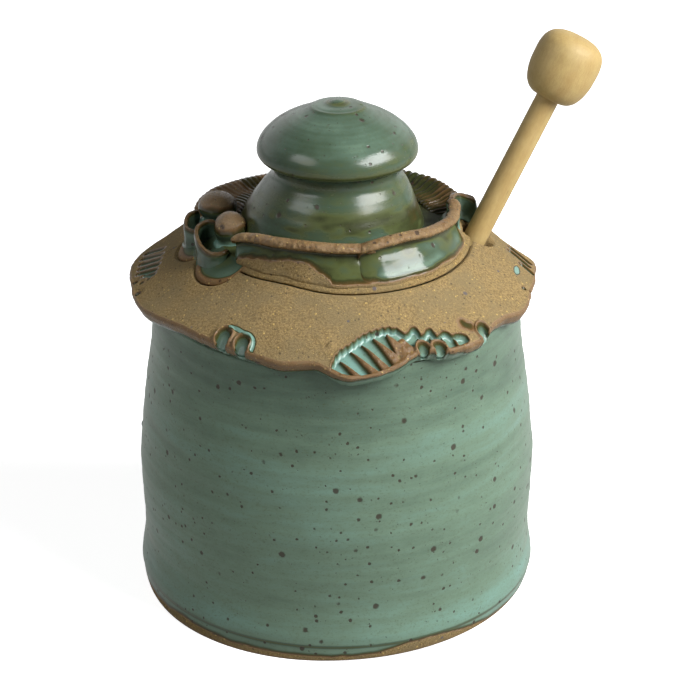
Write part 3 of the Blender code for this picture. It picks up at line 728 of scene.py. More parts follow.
# Ridges of the large leaf: start, end, half widths
LEAF_RIDGES = (
    ((-1.0, -55.4), (2.8, -57.2), 0.25, 0.9),
    ((1.2, -52.5), (7.0, -56.5), 0.25, 1.1),
    ((3.9, -50.2), (11.0, -55.0), 0.25, 1.2),
    ((6.8, -48.3), (14.0, -54.0), 0.25, 1.3),
    ((9.8, -46.5), (16.6, -51.6), 0.35, 1.7),
    ((13.4, -45.2), (18.0, -49.4), 0.5, 2.3),
    ((17.4, -46.6), (20.2, -49.6), 1.5, 2.6),
    ((21.4, -44.2), (22.9, -46.4), 0.25, 0.8),
    ((24.6, -43.2), (26.4, -46.2), 0.25, 0.8),
    ((27.6, -42.2), (30.4, -46.2), 0.25, 0.8),
    ((30.9, -41.6), (33.0, -44.4), 0.25, 0.8),
)

# Glazed streak beside a loop
LOOP_HALO = ((-27.6, -39.6), (-26.0, -40.7), (-24.3, -42.2), (-22.4, -43.6), (-21.5, -45.3),
             (-21.9, -47.0), (-22.6, -48.3))

# Small leaves at the sides: grooves from end to end, and pits and crumbs as (x, y, radius, depth)
LEFT_GROOVES = (
    ((-52.0, 10.4), (-47.6, 7.4)), ((-52.9, 7.5), (-47.8, 3.6)), ((-53.2, 4.1), (-48.3, 0.8)),
    ((-53.3, 1.0), (-48.5, -1.9)), ((-53.6, -1.8), (-49.1, -4.3)), ((-52.0, -4.4), (-49.5, -6.1)))
PITS = ((-54.7, -4.8, 1.1, 1.6), (-52.7, -7.0, 0.8, 1.0), (-50.9, -6.9, 0.6, 0.8),
        (-53.8, -11.3, 1.3, 1.6), (50.5, -12.0, 0.8, 0.9), (52.9, -11.4, 1.0, 1.2), (54.0, -10.9, 1.1, 1.6))
RIGHT_GROOVES = (((47.4, 5.6), (52.4, 1.6)), ((47.6, 8.4), (52.8, 4.2)), ((50.4, 0.4), (53.4, -2.2)))
CRUMBS = ((-1.1, -48.8, 0.8, -0.55), (-1.9, -49.3, 0.35, -0.25), (-39.1, -22.4, 0.5, 0.25),
          (-38.1, -22.9, 0.4, -0.2), (16.6, -49.9, 0.6, 0.7))


def collar_azimuths():
    """Azimuths of the collar's columns, closer where it is stamped."""
    steps = []
    azimuth = -180.0
    while azimuth < 180:
        steps.append(azimuth)
        near = any(low <= azimuth + turn <= high for low, high in STAMPED for turn in (0, 360))
        azimuth += STAMPED_STEP if near else PLAIN_STEP
    return np.array(steps)


def leaf_outline():
    """Closed outline of the large leaf, with teeth on its saw edge."""
    saw = curve_through(LEAF_SAW_EDGE, 140)
    share = np.linspace(0, 1, len(saw))
    tooth = (share * SAW_TEETH) % 1
    height = np.where(tooth < 0.7, tooth / 0.7, (1 - tooth) / 0.3) - 0.5
    saw = saw + sideways(saw) * (SAW_SIZE * height * ease(share, 0.05, 0.2))[:, None]
    scallops = curve_through(LEAF_SCALLOPS, 90)
    return np.concatenate([saw, scallops, curve_through(LEAF_RIM_EDGE, 20)])


def stamp_leaf(x, y, lift, glaze):
    """Press the large leaf: sunk floor, tapering ridges, brown crests, aqua troughs, and a pale line along
    its edge as a painted highlight.
    """
    deep = inside_distance(x, y, leaf_outline())
    floor = ease(deep, -0.12, 0.42)
    crest = np.zeros_like(x)
    for start, end, start_half, end_half in LEAF_RIDGES:
        crest = np.maximum(crest, ease(bar_distance(x, y, start, end, start_half, end_half), -0.42, 0.55))
    radius = np.hypot(x, y)
    azimuth = np.degrees(np.arctan2(y, x))
    rim = around(azimuth, COLLAR_RIM)
    roll = ease(rim - radius, 1.9, 1.0)
    points = np.stack([x, y, np.zeros_like(x)], axis=-1)
    crumple = 0.5 * lumps(points, 1.2, 27) + 0.3 * lumps(points, 0.6, 28)
    crest = crest * (0.85 + 0.25 * crumple * ease(x, 10.0, 15.0))
    high = np.maximum(crest, roll)
    lift = lift - LEAF_DEPTH * floor * (1 - high) + LEAF_RIDGE_HEIGHT * floor * high
    lift = lift + LEAF_LIP_HEIGHT * peak(deep, -0.25, 0.30)
    trough = 0.85 + 0.09 * ease(x, 16.0, 2.0)
    inside = toward(trough, 0.23 + 0.06 * crumple, ease(high, 0.25, 0.62))
    # Pale line just inside the saw and scalloped edges, away from the rim: a painted highlight of the glint
    # on the glaze there.
    edge_line = peak(deep, 0.40, 0.27) * ease(rim - radius, 2.5, 4.5) * ease(crumple, -0.5, 0.0)
    inside = layered(inside, (0.38, peak(high, 0.42, 0.17) * 0.9), (1.0, edge_line * (high < 0.4)))
    glaze = np.maximum(glaze, 0.26 * ease(deep, -0.55, -0.05))
    glaze = toward(glaze, inside, ease(deep, -0.05, 0.18))
    return lift, glaze


def stamp_loops(x, y, azimuth, inward, lift, glaze):
    """Scoop the loop stamps through the rim, each with a raised brown arch."""
    for centre, half_width, reach in LOOPS:
        side = np.radians(azimuth - centre) * np.hypot(x, y)
        half = half_width * (0.92 + 0.08 * ease(inward, 0.0, 1.2))
        deep = half - np.hypot(side, np.maximum(inward - (reach - half_width), 0))
        near = ease(deep, -1.35, -0.75) * ease(-side ** 2, -(half_width + 1.6) ** 2, -(half_width + 0.9) ** 2)
        lift = lift + (np.maximum(lift, -0.1) - lift) * near
        arch = peak(deep, -0.50, LOOP_LIP)
        scoop = ease(deep, -0.12, 0.50)
        depth = 0.9 + 2.0 * ease(inward, reach, 0.0) + 0.5 * ease(deep, 0.3, 1.2)
        lift = (lift + LOOP_LIP_HEIGHT * arch * near) * (1 - scoop) - depth * scoop
        glaze = layered(
            glaze, (BROWN, near * ease(deep, -1.2, -0.9)), (OLIVE, peak(deep, -0.02, 0.16)),
            (0.70, ease(deep, 0.05, 0.30)), (0.88, ease(deep, 0.4, 1.1)))
    return lift, glaze


def halo(x, y, points, width, glaze, value):
    """A glazed streak along a curve on the collar."""
    near = np.full(x.shape, np.inf)
    for px, py in curve_through(points, 24):
        near = np.minimum(near, np.hypot(x - px, y - py))
    return layered(glaze, (OLIVE, ease(near, width * 1.35, width)), (value, ease(near, width, width * 0.6)))


def stamp_grooves(x, y, grooves, half, depth, lift, glaze):
    """Press straight grooves, green inside and brown on their edges."""
    for start, end in grooves:
        deep = bar_distance(x, y, start, end, half, half * 0.8)
        lift = lift - depth * ease(deep, -0.25, half * 0.8)
        glaze = toward(glaze, 0.30, ease(deep, -0.7, -0.2) * (glaze < 0.3))
        glaze = toward(glaze, AQUA, ease(deep, 0.05, 0.35))
    return lift, glaze


def stamp_dents(x, y, dents, lift, glaze, value):
    """Press round pits, or raise crumbs where the depth is negative."""
    for px, py, radius, depth in dents:
        near = np.hypot(x - px, y - py) / radius
        lift = lift - depth * peak(near, 0, 1)
        glaze = toward(glaze, value, ease(near, 1.1, 0.6))
    return lift, glaze


def leaf_sag(azimuth, share):
    """A share of the drop of the rim at the large leaf."""
    centre, half_width, drop = LEAF_SAG
    return drop * share * peak(azimuth, centre, half_width)


def collar_surface(azimuth, radius, rim):
    """Lift and glaze of the collar's upper face."""
    x = radius * np.cos(np.radians(azimuth))
    y = radius * np.sin(np.radians(azimuth))
    points = np.stack([x, y, np.zeros_like(x)], axis=-1)
    inward = rim - radius
    lift = 0.22 * lumps(points, 15.0, 21) + 0.10 * lumps(points, 5.0, 22) + 0.04 * lumps(points, 1.6, 23)
    lift = lift - leaf_sag(azimuth, ease(inward, 8.0, 0.0))
    lift = lift - around(azimuth, RIM_SAG) * ease(inward, 6.0, 0.0)
    glaze = BARE + 0.20 * ease(inward, 1.3, 0.2)
    lift, glaze = stamp_leaf(x, y, lift, glaze)
    lift, glaze = stamp_loops(x, y, azimuth, inward, lift, glaze)
    glaze = halo(x, y, LOOP_HALO, 0.62, glaze, 0.92)
    lift, glaze = stamp_grooves(x, y, LEFT_GROOVES, 0.80, 1.2, lift, glaze)
    lift, glaze = stamp_grooves(x, y, RIGHT_GROOVES, 0.65, 0.9, lift, glaze)
    lift, glaze = stamp_dents(x, y, PITS, lift, glaze, 0.40)
    lift, glaze = stamp_dents(x, y, CRUMBS, lift, glaze, BARE)
    smudge = np.hypot((x - 48.8) / 0.8, (y + 5.2) / 2.6) + 0.3 * lumps(points, 1.5, 29)
    patch = np.hypot((x - 34.2) / 2.7, (y + 36.5) / 1.8) + 0.35 * lumps(points, 1.4, 24)
    return lift, layered(glaze, (0.92, ease(smudge, 1.2, 0.6)), (0.40, ease(patch, 1.4, 0.2)))


def collar_top(azimuth, opening, rim):
    """Upper face of the collar, from its opening out to the rounding of its rim, and its glaze."""
    middle = np.maximum(43.0, opening + 0.8)
    near = np.linspace(0, 1, 18, endpoint=False)[:, None]
    far = np.linspace(0, 1, 58)[:, None]
    radius = np.concatenate([toward(opening, middle, near), toward(middle, rim - RIM_ROUNDING, far)])
    lift, glaze = collar_surface(azimuth, radius, rim)
    past_opening = radius - opening
    points = polar_points(azimuth, radius, slab_top(radius) + lift * ease(past_opening, 0.0, 1.2))
    points[..., 2] -= 0.35 * ease(past_opening, 0.55, 0.0)
    return points, glaze


def collar_edge(azimuth, rim):
    """Rounded and stamped rim of the collar, from its upper to its lower edge, and its glaze."""
    slope = math.atan(SLAB_FALL)
    thickness = SLAB_THICKNESS * math.cos(slope)
    turns = np.linspace(0, np.pi / 2, 7)[1:, None]
    near = RIM_ROUNDING * (1 - np.sin(turns))
    far = RIM_ROUNDING * (1 - np.cos(turns))
    straight = np.linspace(RIM_ROUNDING, thickness - RIM_ROUNDING, 5)[1:-1, None]
    inward = np.concatenate([near, 0 * straight, far])
    depth = np.concatenate([far, straight, thickness - near])

    lift, stamped = collar_surface(azimuth, rim - 0.3, rim)
    sag = around(azimuth, RIM_SAG)
    sunk = np.maximum(-lift - sag, 0)
    down = np.maximum(depth, np.minimum(sunk, thickness - 0.4) + 0.12 * depth)
    raised = np.maximum(lift, 0) * (1 - depth / thickness)
    radius = rim - inward * math.cos(slope) - down * math.sin(slope)
    height = slab_top(rim) - sag + inward * math.sin(slope) - down * math.cos(slope) + raised
    height = height - leaf_sag(azimuth, (1 - ease(down, 0.0, 1.0)) * (lift > -1))

    at_leaf = ease(azimuth, -93, -87) * ease(azimuth, -48, -54)
    turn_low = 3.1 - 1.5 * at_leaf + 0.35 * lumps(polar_points(azimuth, BODY_RADIUS, height), 5.0, 31)
    glaze = toward(BROWN, 0.76, ease(down, turn_low - 0.25, turn_low + 0.25))
    glaze = toward(glaze, np.maximum(stamped, BROWN), ease(sunk, 0.8, 1.6) * (down < 3.4))
    return polar_points(azimuth, radius, height), glaze


def collar_underside(azimuth, opening, seat, rim):
    """Lower face of the collar, and the bevel from its seat up to its opening."""
    slope = math.atan(SLAB_FALL)
    low_rim = rim - SLAB_THICKNESS * math.cos(slope) * math.sin(slope) - RIM_ROUNDING * math.cos(slope)
    radius = toward(low_rim, seat, np.linspace(0, 1, 10)[1:, None])
    sag = around(azimuth, RIM_SAG) * ease(low_rim - radius, 6.0, 0.0)
    face = polar_points(azimuth, radius, slab_top(radius) - SLAB_THICKNESS - sag)
    share = np.linspace(0, 1, 5)[1:-1, None]
    height = toward(slab_top(seat) - SLAB_THICKNESS, slab_top(opening) - 0.5, share)
    return face, polar_points(azimuth, toward(seat, opening, share), height)


def make_collar():
    """Sloping slab brim with its keyed opening, uneven rim and pressed ornament."""
    azimuth = collar_azimuths()
    rim = around(azimuth, COLLAR_RIM)
    place = polar_points(azimuth, rim, 0.0)
    rim = rim + 0.13 * lumps(place, 1.8, 25) + 0.06 * lumps(place, 0.8, 26)
    seam = lid_edge(azimuth) + SEAM_GAP
    upper_hole = hole_reach(azimuth, slab_top(41.0), True)
    lower_hole = hole_reach(azimuth, slab_top(41.0) - SLAB_THICKNESS, True)
    opening = np.fmax(seam, upper_hole)
    seat = np.fmax(seam - SEAT_BEVEL, lower_hole)
    top, top_glaze = collar_top(azimuth, opening, rim)
    edge, edge_glaze = collar_edge(azimuth, rim)
    face, bevel = collar_underside(azimuth, opening, seat, rim)
    points = np.concatenate([top, edge, face, bevel])
    face_glaze = np.full(face.shape[:2], 0.85)
    glaze = np.concatenate([top_glaze, edge_glaze, face_glaze, np.zeros(bevel.shape[:2])])
    return grid_piece("collar_slab", points, glaze, ring=True)


# Lid plate

def make_lid_plate():
    """Slab lid with a bite for the dipper."""
    azimuth = np.arange(-180, 180, 0.6)
    full = lid_edge(azimuth)
    edge = np.fmin(full, hole_reach(azimuth, slab_top(36.0), False))
    seat = np.fmin(full - SEAT_BEVEL, hole_reach(azimuth, slab_top(33.0) - SLAB_THICKNESS, False))
    flat = SEAM_RADIUS - (LID_TOP - SEAM_HEIGHT) / SLAB_FALL
    near = np.linspace(0, 1, 8, endpoint=False)[:, None]
    far = np.linspace(0, 1, 26)[:, None]
    top_radius = np.concatenate([toward(LID_HOLE_RADIUS, flat - 1.2, near) + 0 * azimuth,
                                 toward(flat - 1.2, edge - LID_ROUNDING, far)])
    top_height = LID_TOP - np.maximum(top_radius - flat, 0) * SLAB_FALL
    turns = np.linspace(0, np.pi / 2, 7)[1:, None]
    past_brink = LID_ROUNDING * (1 - np.cos(turns))
    round_height = slab_top(edge - LID_ROUNDING) - SLAB_FALL * LID_ROUNDING * np.sin(turns) * 0.6 - past_brink
    down = np.linspace(0, 1, 7)[1:, None]
    low = slab_top(seat) - SLAB_THICKNESS
    back = np.linspace(0, 1, 6)[1:, None]
    middle = slab_top(SEAM_RADIUS - SEAT_BEVEL) - SLAB_THICKNESS
    radius = np.concatenate([
        top_radius, edge - LID_ROUNDING * (1 - np.sin(turns)), toward(edge, seat, down),
        toward(seat, LID_HOLE_RADIUS, back)])
    height = np.concatenate([
        top_height, round_height, toward(round_height[-1], low, down),
        toward(low, middle, ease(back, 0.0, 0.5))])
    points = polar_points(azimuth, radius, height)
    row = np.arange(len(radius))[:, None]
    soft = lumps(points, 6.0, 41) * 0.12 + lumps(points, 2.0, 42) * 0.05
    points[..., 2] += np.where(row < len(top_radius) + 2, soft, 0)
    glaze = lid_plate_glaze(azimuth % 360, points, edge - radius)
    glaze = np.where(radius < flat, 0.47 + 0.10 * lumps(points, 2.5, 45), glaze)
    glaze = np.where(row > len(top_radius) + 8, 0.0, glaze)
    return grid_piece("lid_slab", points, glaze, ring=True)


def lid_plate_glaze(azimuth, points, inward):
    """Glaze on the lid's slope: dark green pools on the key lobes, partly painted shade, inside a brown edge,
    olive behind, else bare.
    """
    on_lobe = ease(azimuth, 150, 158) * ease(azimuth, 226, 220)
    edge_line = 1.6 + 0.25 * lumps(points, 3.0, 43)
    # The lobes' dark green is partly painted shade, for the low light on the lobes.
    glaze = np.where(inward > edge_line, 0.60 + 0.12 * lumps(points, 4.0, 44), BROWN)
    glaze = toward(BARE, toward(glaze, 0.38, peak(inward, edge_line, 0.22)), on_lobe)
    behind = ease(azimuth, 20, 30) * ease(azimuth, 160, 150)
    return np.maximum(glaze, 0.30 * behind * (inward > 2.0))


# Knob

# Outside of the knob: radius, height from its top
KNOB_PROFILE = (
    (0.3, 1.2), (1.3, 1.0), (2.3, 0.6), (3.6, 0.25), (6.0, -0.05), (7.0, -0.4), (9.4, -1.4),
    (14.0, -3.3), (17.4, -5.4), (20.0, -7.9), (21.3, -10.1), (21.65, -11.6), (21.5, -12.9), (20.9, -13.7),
    (19.9, -14.2), (18.8, -14.4), (18.0, -15.0), (17.6, -16.2), (17.4, -17.8), (17.7, -19.0),
    (18.5, -20.2), (19.6, -21.7), (20.6, -23.4), (21.5, -25.1), (22.4, -26.9), (23.3, -28.9), (24.1, -31.0),
    (24.8, -33.2), (25.1, -35.2))

# Shift of the dome and of the base to the right, lean to the back, and how far down its pivot is
KNOB_SHIFT = 0.3
KNOB_BASE_SHIFT = -1.2
KNOB_LEAN = 4.0
KNOB_PIVOT = 18.6

# Spacing of the rings that turning left on the dome
DOME_RING = 2.3


def make_knob():
    """Thrown knob: nub and spiral on the dome, rolled lip, waist and flared cone."""
    profile = np.array(KNOB_PROFILE)
    profile[:, 1] += KNOB_TOP
    outer = curve_through(profile, 150)
    base = LID_TOP + CLEARANCE
    inner = curve_through(((20.5, base), (19.0, base + 8.0), (12.5, base + 15.5), (12.0, base + 22.0),
                           (6.0, base + 26.5), (0.6, base + 27.0)), 30)
    profile = np.concatenate([outer, inner])
    azimuth = np.arange(0, 360, 2.0)[None, :]
    turn = np.radians(azimuth)
    radius = profile[:, :1]
    height = profile[:, 1:]
    points = polar_points(azimuth, radius, height)
    on_outside = (np.arange(len(profile)) < len(outer) - 3)[:, None]
    on_dome = height > KNOB_TOP - 12
    spiral = peak(radius - 6.6, azimuth / 360 * 0.8, 0.5) * (0.55 - 0.45 * np.sin(turn))
    thrown = 0.014 * np.sin(radius * 2 * np.pi / DOME_RING + turn) * ease(radius, 7.0, 10.0)
    lift = 0.30 * spiral * on_dome + thrown + 0.10 * lumps(points, 9.0, 51) + 0.05 * lumps(points, 3.0, 52)
    rings = 0.035 * np.sin(height * 2 * np.pi / 3.1 + turn) * (height < KNOB_TOP - 21)
    swell = 0.15 * lumps(points, 14.0, 53)
    wide = np.where(on_outside, radius + rings + swell * ease(radius, 3, 12), radius)
    points = polar_points(azimuth, wide, height + np.where(on_outside, lift * on_dome, 0))
    lean = math.radians(KNOB_LEAN) * ease(height, LID_TOP + 2.0, KNOB_TOP - 20)
    above_pivot = points[..., 2] - (KNOB_TOP - KNOB_PIVOT)
    points[..., 2] -= points[..., 1] * lean
    points[..., 1] += above_pivot * lean + 1.4 * ease(height, KNOB_TOP - 3.0, KNOB_TOP + 1.0)
    points[..., 0] += toward(KNOB_BASE_SHIFT, KNOB_SHIFT, ease(height, KNOB_TOP - 31, KNOB_TOP - 17))
    glaze = knob_glaze(points, turn, radius, height, on_dome, spiral)
    return grid_piece("knob_thrown", points, np.where(on_outside, glaze, SAGE))


def knob_glaze(points, turn, radius, height, on_dome, spiral):
    """Glaze on the knob: sage with fine turned lines, darker on the lower dome partly as painted shade, brown
    on its lip, patches and pool on the cone.
    """
    glaze = 0.675 + 0.05 * lumps(points * (1, 1, 2.5), 9.0, 54)
    # Darker towards the dome's lower edge: partly painted shade under the dome's rounding, partly the glaze's
    # own darker green.
    glaze = glaze - 0.075 * ease(height, KNOB_TOP - 5.0, KNOB_TOP - 11.0)
    glaze = glaze - 0.05 * ease(lumps(points * (1, 1, 1.6), 7.0, 58), 0.2, 0.9) * on_dome
    patches = lumps(points * (0.5, 0.5, 1.6), 5.0, 55) + 0.5 * lumps(points * (0.6, 0.6, 1.5), 1.8, 57)
    brown = 0.01 + 0.15 * ease(patches, -0.35, 0.55)
    glaze = glaze - ease(height, KNOB_TOP - 21.5, KNOB_TOP - 25.5) * brown
    turned = np.sin(radius * 2 * np.pi / DOME_RING + turn) + np.sin(radius * 2 * np.pi / 1.3)
    glaze = glaze + 0.011 * turned * on_dome * ease(radius, 7.0, 10.0)
    lip = peak(height, KNOB_TOP - 13.2, 1.2)
    glaze = glaze - 0.16 * lip * (0.7 + 0.3 * lumps(points, 5.0, 56))
    glaze = toward(glaze, 0.84, ease(height, KNOB_TOP - 32.5, KNOB_TOP - 34.4) * 0.7)
    glaze = glaze - 0.16 * peak(radius, 2.6, 0.9) * on_dome
    return glaze - 0.09 * np.clip(spiral, 0, 1) * on_dome


# Front straps

# Lip of the front straps: azimuth, radius, height
LEFT_LIP = (
    (-147, 32.4, 110.6), (-144, 31.6, 111.4), (-138, 30.4, 112.2), (-122, 30.3, 113.6),
    (-107, 30.6, 114.3), (-92, 30.4, 114.0), (-82, 30.2, 113.6), (-75, 29.8, 113.1), (-69, 29.2, 112.4))
RIGHT_LIP = (
    (-79, 30.4, 113.2), (-74, 30.9, 114.1), (-56, 30.1, 114.4), (-37, 30.6, 113.0), (-22, 31.0, 111.8),
    (-12, 31.5, 111.2), (-5, 31.7, 111.4), (0, 31.6, 112.1), (4, 31.2, 112.4))
LIP_DROP = 3.3

# Height of the bare patch above the left strap's foot: azimuth, height
RAW_PATCH = (
    (-146, 0.3), (-141, 1.1), (-135, 1.9), (-128, 2.6), (-117, 3.4), (-107, 4.2), (-101, 3.6),
    (-96, 2.2), (-92, 0.5))


def strap_section(lip_radius, lip_height, foot_radius):
    """Section of a front strap, from the foot's outside over the lip and back under."""
    foot_height = slab_top(foot_radius)
    neck = lip_height - LIP_DROP
    low = np.array((foot_radius + 0.25, foot_height + 1.1))
    high = np.array((lip_radius - 0.3, neck - 0.1))
    face = [low + (high - low) * share for share in (0.0, 0.3, 0.6, 0.9)]
    return curve_through((
        (foot_radius + 0.35, foot_height - 0.4),
        (foot_radius + 0.5, foot_height + 0.3),
        *face,
        (lip_radius - 0.2, neck + 0.35),
        (lip_radius + 0.6, neck + 0.75),
        (lip_radius + 1.4, neck + 1.15),
        (lip_radius + 1.8, neck + 1.9),
        (lip_radius + 1.45, neck + 2.75),
        (lip_radius + 0.6, lip_height - 0.1),
        (lip_radius - 0.7, lip_height),
        (lip_radius - 1.5, lip_height - 0.5),
        (lip_radius - 1.75, lip_height - 1.7),
        (lip_radius - 1.5, lip_height - 3.2),
        (lip_radius - 3.0, LID_TOP + 3.0),
        (lip_radius - 4.2, LID_TOP + 0.2)), 72)


def make_front_strap(name, lip, seed):
    """Strap of clay round the front of the lid, its lip brown and its face glossy green."""
    first, last = lip[0][0], lip[-1][0]
    azimuth = np.linspace(first, last, int((last - first) / 0.45))
    lip_radius = smooth_value(azimuth, lip)
    lip_height = smooth_value(azimuth, lip, 2)
    foot = seam_circle(azimuth) - 1.3 - 0.15 * np.sin(azimuth * 0.35 + seed)
    foot = foot - 1.2 * ease(azimuth, -12, -2) - 0.8 * ease(azimuth - first, 5.0, 0.0)
    foot = foot - 0.8 * ease(last - azimuth, 6.0, 0.0) * (last < -20)
    sections = np.array([strap_section(*values) for values in zip(lip_radius, lip_height, foot)])
    share = (azimuth - first) / (last - first)
    radius = sections[..., 0]
    height = sections[..., 1]
    turn = azimuth[:, None]
    lip_height = lip_height[:, None]
    points = polar_points(turn, radius, height)
    soft = 0.16 * lumps(points, 6.5, seed) + 0.06 * lumps(points, 2.4, seed + 1)
    gritty = 0.24 * lumps(points, 1.5, seed + 2) + 0.20 * lumps(points, 0.7, seed + 3)
    soft = soft + ease(height, lip_height - 3.6, lip_height - 2.2) * gritty
    soft = soft * ease(height - height[:, :1], 0.4, 1.6)
    points = points + polar_points(turn, 1.0, 0.35) * soft[..., None]
    points = rounded_ends(points, share, 0.022, 0.12)
    return grid_piece(name, points, strap_glaze(turn, height, lip_height, points, seed))


def strap_glaze(turn, height, lip_height, points, seed):
    """Glaze on a front strap: bare foot, pools on the face, brown lip, green behind."""
    outside = np.arange(height.shape[1]) <= height.argmax(axis=1)[:, None]
    above_foot = height - height[:, :1] - 0.4
    below_lip = lip_height - height
    upright = points * (1, 1, 0.3)
    dapple = lumps(points, 3.0, seed + 5)
    ragged = lumps(points, 1.1, seed + 10)
    face = 0.49 + 0.06 * dapple + 0.09 * lumps(points, 7.0, seed + 6) + 0.09 * ease(turn, -126, -138)
    face = face + 0.24 * peak(above_foot, 2.2, 1.9) * ease(lumps(upright, 8.0, seed + 7), -0.1, 0.6)
    face = face + 0.10 * peak(below_lip, 5.2, 1.2) * ease(lumps(upright, 6.0, seed + 8), 0.0, 0.7)
    raw = 0.42 + 0.20 * lumps(points, 3.0, seed + 9) + 0.10 * ragged + 2.6 * ease(turn, -15, -4)
    uneven = 0.30 + 0.5 * ease(turn, -108, -98)
    patch = smooth_value(turn, RAW_PATCH) + uneven * dapple + 0.3 * ragged
    raw = np.where(turn < -92, np.maximum(raw, patch), np.maximum(raw, 0)) - 3.0 * ease(turn, -142, -145)
    olive = toward(0.33, face, ease(above_foot, raw + 0.7, raw + 2.2))
    face = np.where(above_foot < raw + 0.7, 0.04 + 0.29 * ease(above_foot, raw, raw + 0.7), olive)
    face = np.where(above_foot < raw, 0.015, face)
    face = toward(face, 0.37, ease(below_lip, 4.2, 3.2) * (0.75 + 0.25 * dapple))
    brown = 0.155 + 0.05 * dapple + 0.05 * ragged + 0.12 * ease(below_lip, 1.4, 2.4) * outside
    front = toward(face, brown, ease(below_lip, 2.9, 2.2))
    line = peak(below_lip, 1.1, 0.45) * ease(lumps(points * (1, 1, 0.2), 7.0, seed + 11), -0.2, 0.2)
    back = 0.58 + 0.10 * dapple + 0.25 * ease(below_lip, 3.0, 6.0)
    return np.where(outside, front, layered(back, (brown, ease(below_lip, 1.3, 0.7)), (0.97, line)))


# Back straps

# Back straps: first and last azimuth, ribs, their size, glaze, seed
BACK_RIGHT = (17.0, 92.0, 26, 1.4, 0.36, 81)
BACK_LEFT = (90.0, 166.0, 30, 0.4, 0.17, 85)

# Outer edge of the back straps: azimuth, radius, height
BACK_OUTER = (
    (4, 37.6, 104.6), (15, 38.0, 105.6), (29, 37.6, 106.6), (45, 37.0, 107.4), (58, 35.2, 107.8),
    (75, 34.2, 107.6), (91, 33.6, 106.9), (105, 33.8, 106.5), (122, 35.4, 106.9), (136, 36.9, 107.2),
    (148, 39.0, 107.2), (156, 40.2, 106.7), (164, 40.4, 105.6), (172, 40.0, 104.4))


def ribbon_section(outer, inner, top, tooth):
    """Section of a back strap, from its inner foot round its outer edge and back over its top."""
    seat = LID_TOP + 0.3
    return curve_through((
        (inner + 1.4, seat - 0.1), (outer - 3.4, seat - 0.2), (outer - 1.0, top - 2.6),
        (outer, top - 1.2), (outer - 0.1, top - 0.3), (outer - 0.9, top),
        (outer - 3.2, top - 0.55), ((outer + inner) / 2, top - 1.35 + 0.1 * tooth),
        (inner + 1.3, top - 1.9 + 0.25 * tooth), (inner + 0.2, top - 2.3 + 0.2 * tooth),
        (inner, top - 3.0)), 40)


def make_back_strap(name, first, last, ribs, rib_size, level, seed):
    """Ribbed ribbon of clay round the back of the lid, toothed along its inner edge."""
    azimuth = np.linspace(first, last, int((last - first) / 0.4))
    share = np.linspace(0, 1, len(azimuth))
    step = share * ribs + 0.35 * lumps(polar_points(azimuth, 35.0, 0.0), 4.0, seed + 4)
    tooth = np.abs((step % 1) - 0.5) * 2
    outer = smooth_value(azimuth, BACK_OUTER) + 0.25 * tooth * rib_size
    top = smooth_value(azimuth, BACK_OUTER, 2)
    inner = 27.0 + 0.7 * tooth
    sections = np.array([ribbon_section(*values) for values in zip(outer, inner, top, tooth)])
    radius = sections[..., 0]
    height = sections[..., 1]
    outer, top, inner, step = (values[:, None] for values in (outer, top, inner, step))
    points = polar_points(azimuth[:, None], radius, height)
    rib = np.sin(step * 2 * np.pi) * 0.16 * rib_size
    on_top = height > top - 3.3
    points[..., 2] += rib * ease(radius, inner + 0.3, inner + 2.0) * on_top + 0.12 * lumps(points, 3.0, seed)
    points = rounded_ends(points, share, 0.03, 0.3)
    reach = (radius - inner) / (outer - inner)
    glaze = level + 0.05 * lumps(points, 3.0, seed + 1) - 0.08 * np.clip(rib / 0.16, 0, 1) * on_top
    glaze = layered(
        glaze, (0.46, ease(lumps(points, 5.0, seed + 2), 0.0, 0.5) * 0.7),
        (0.27, ease(reach, 0.88, 1.0) * 0.7), (0.37, ease(reach, 0.14, 0.04)))
    return grid_piece(name, points, glaze)


# Curls, cup and beads

# Plan of each upright wall; heights of its rim and its foot along it, as (share, height); thickness; seed
FRONT_CURL = (
    ((-31.6, -2.4), (-34.8, -2.0), (-37.2, -4.6), (-37.3, -9.6), (-35.7, -14.2), (-33.0, -16.9),
     (-30.2, -16.9), (-28.4, -14.8)),
    ((0, 107.6), (0.25, 107.2), (0.5, 106.0), (0.75, 104.9), (1, 105.8)),
    ((0, 100.6), (0.3, 99.0), (0.7, 98.2), (1, 101.0)), 1.25, 91)
BACK_CURL = (
    ((-34.8, -1.2), (-37.6, -3.0), (-39.9, -1.8), (-40.8, 2.0), (-39.8, 5.6), (-37.2, 7.8)),
    ((0, 104.6), (0.4, 105.0), (0.75, 106.0), (1, 106.2)),
    ((0, 98.2), (0.5, 97.8), (1, 99.5)), 1.2, 95)
DIPPER_CUP = (
    ((32.9, -3.4), (31.8, 0.4), (31.2, 4.2), (31.9, 8.0), (33.8, 10.7), (36.4, 11.4), (38.4, 10.8)),
    ((0, 110.2), (0.3, 110.9), (0.55, 110.9), (0.8, 109.2), (1, 107.5)),
    ((0, 102.5), (0.5, 103.6), (1, 100.0)), 1.7, 99)
WALL_FLARE = 0.6

# Beads: place, radius, half height, glaze of the crown, seed; and outline as shares of radius and half height
# The large bead's crown has the lightest brown, lighter than the small bead's: partly painted light, standing
# in for light from the left that falls on it.
LARGE_BEAD = ((-32.2, 7.0, 107.4), 5.2, 4.1, 0.10, 103)
SMALL_BEAD = ((-28.4, -7.6, 108.0), 4.5, 4.4, 0.16, 107)
BEAD_PROFILE = (
    (0.05, 1.0), (0.38, 0.93), (0.74, 0.66), (0.97, 0.18), (0.98, -0.22), (0.84, -0.62), (0.80, -0.86),
    (0.98, -1.02), (1.05, -1.12))


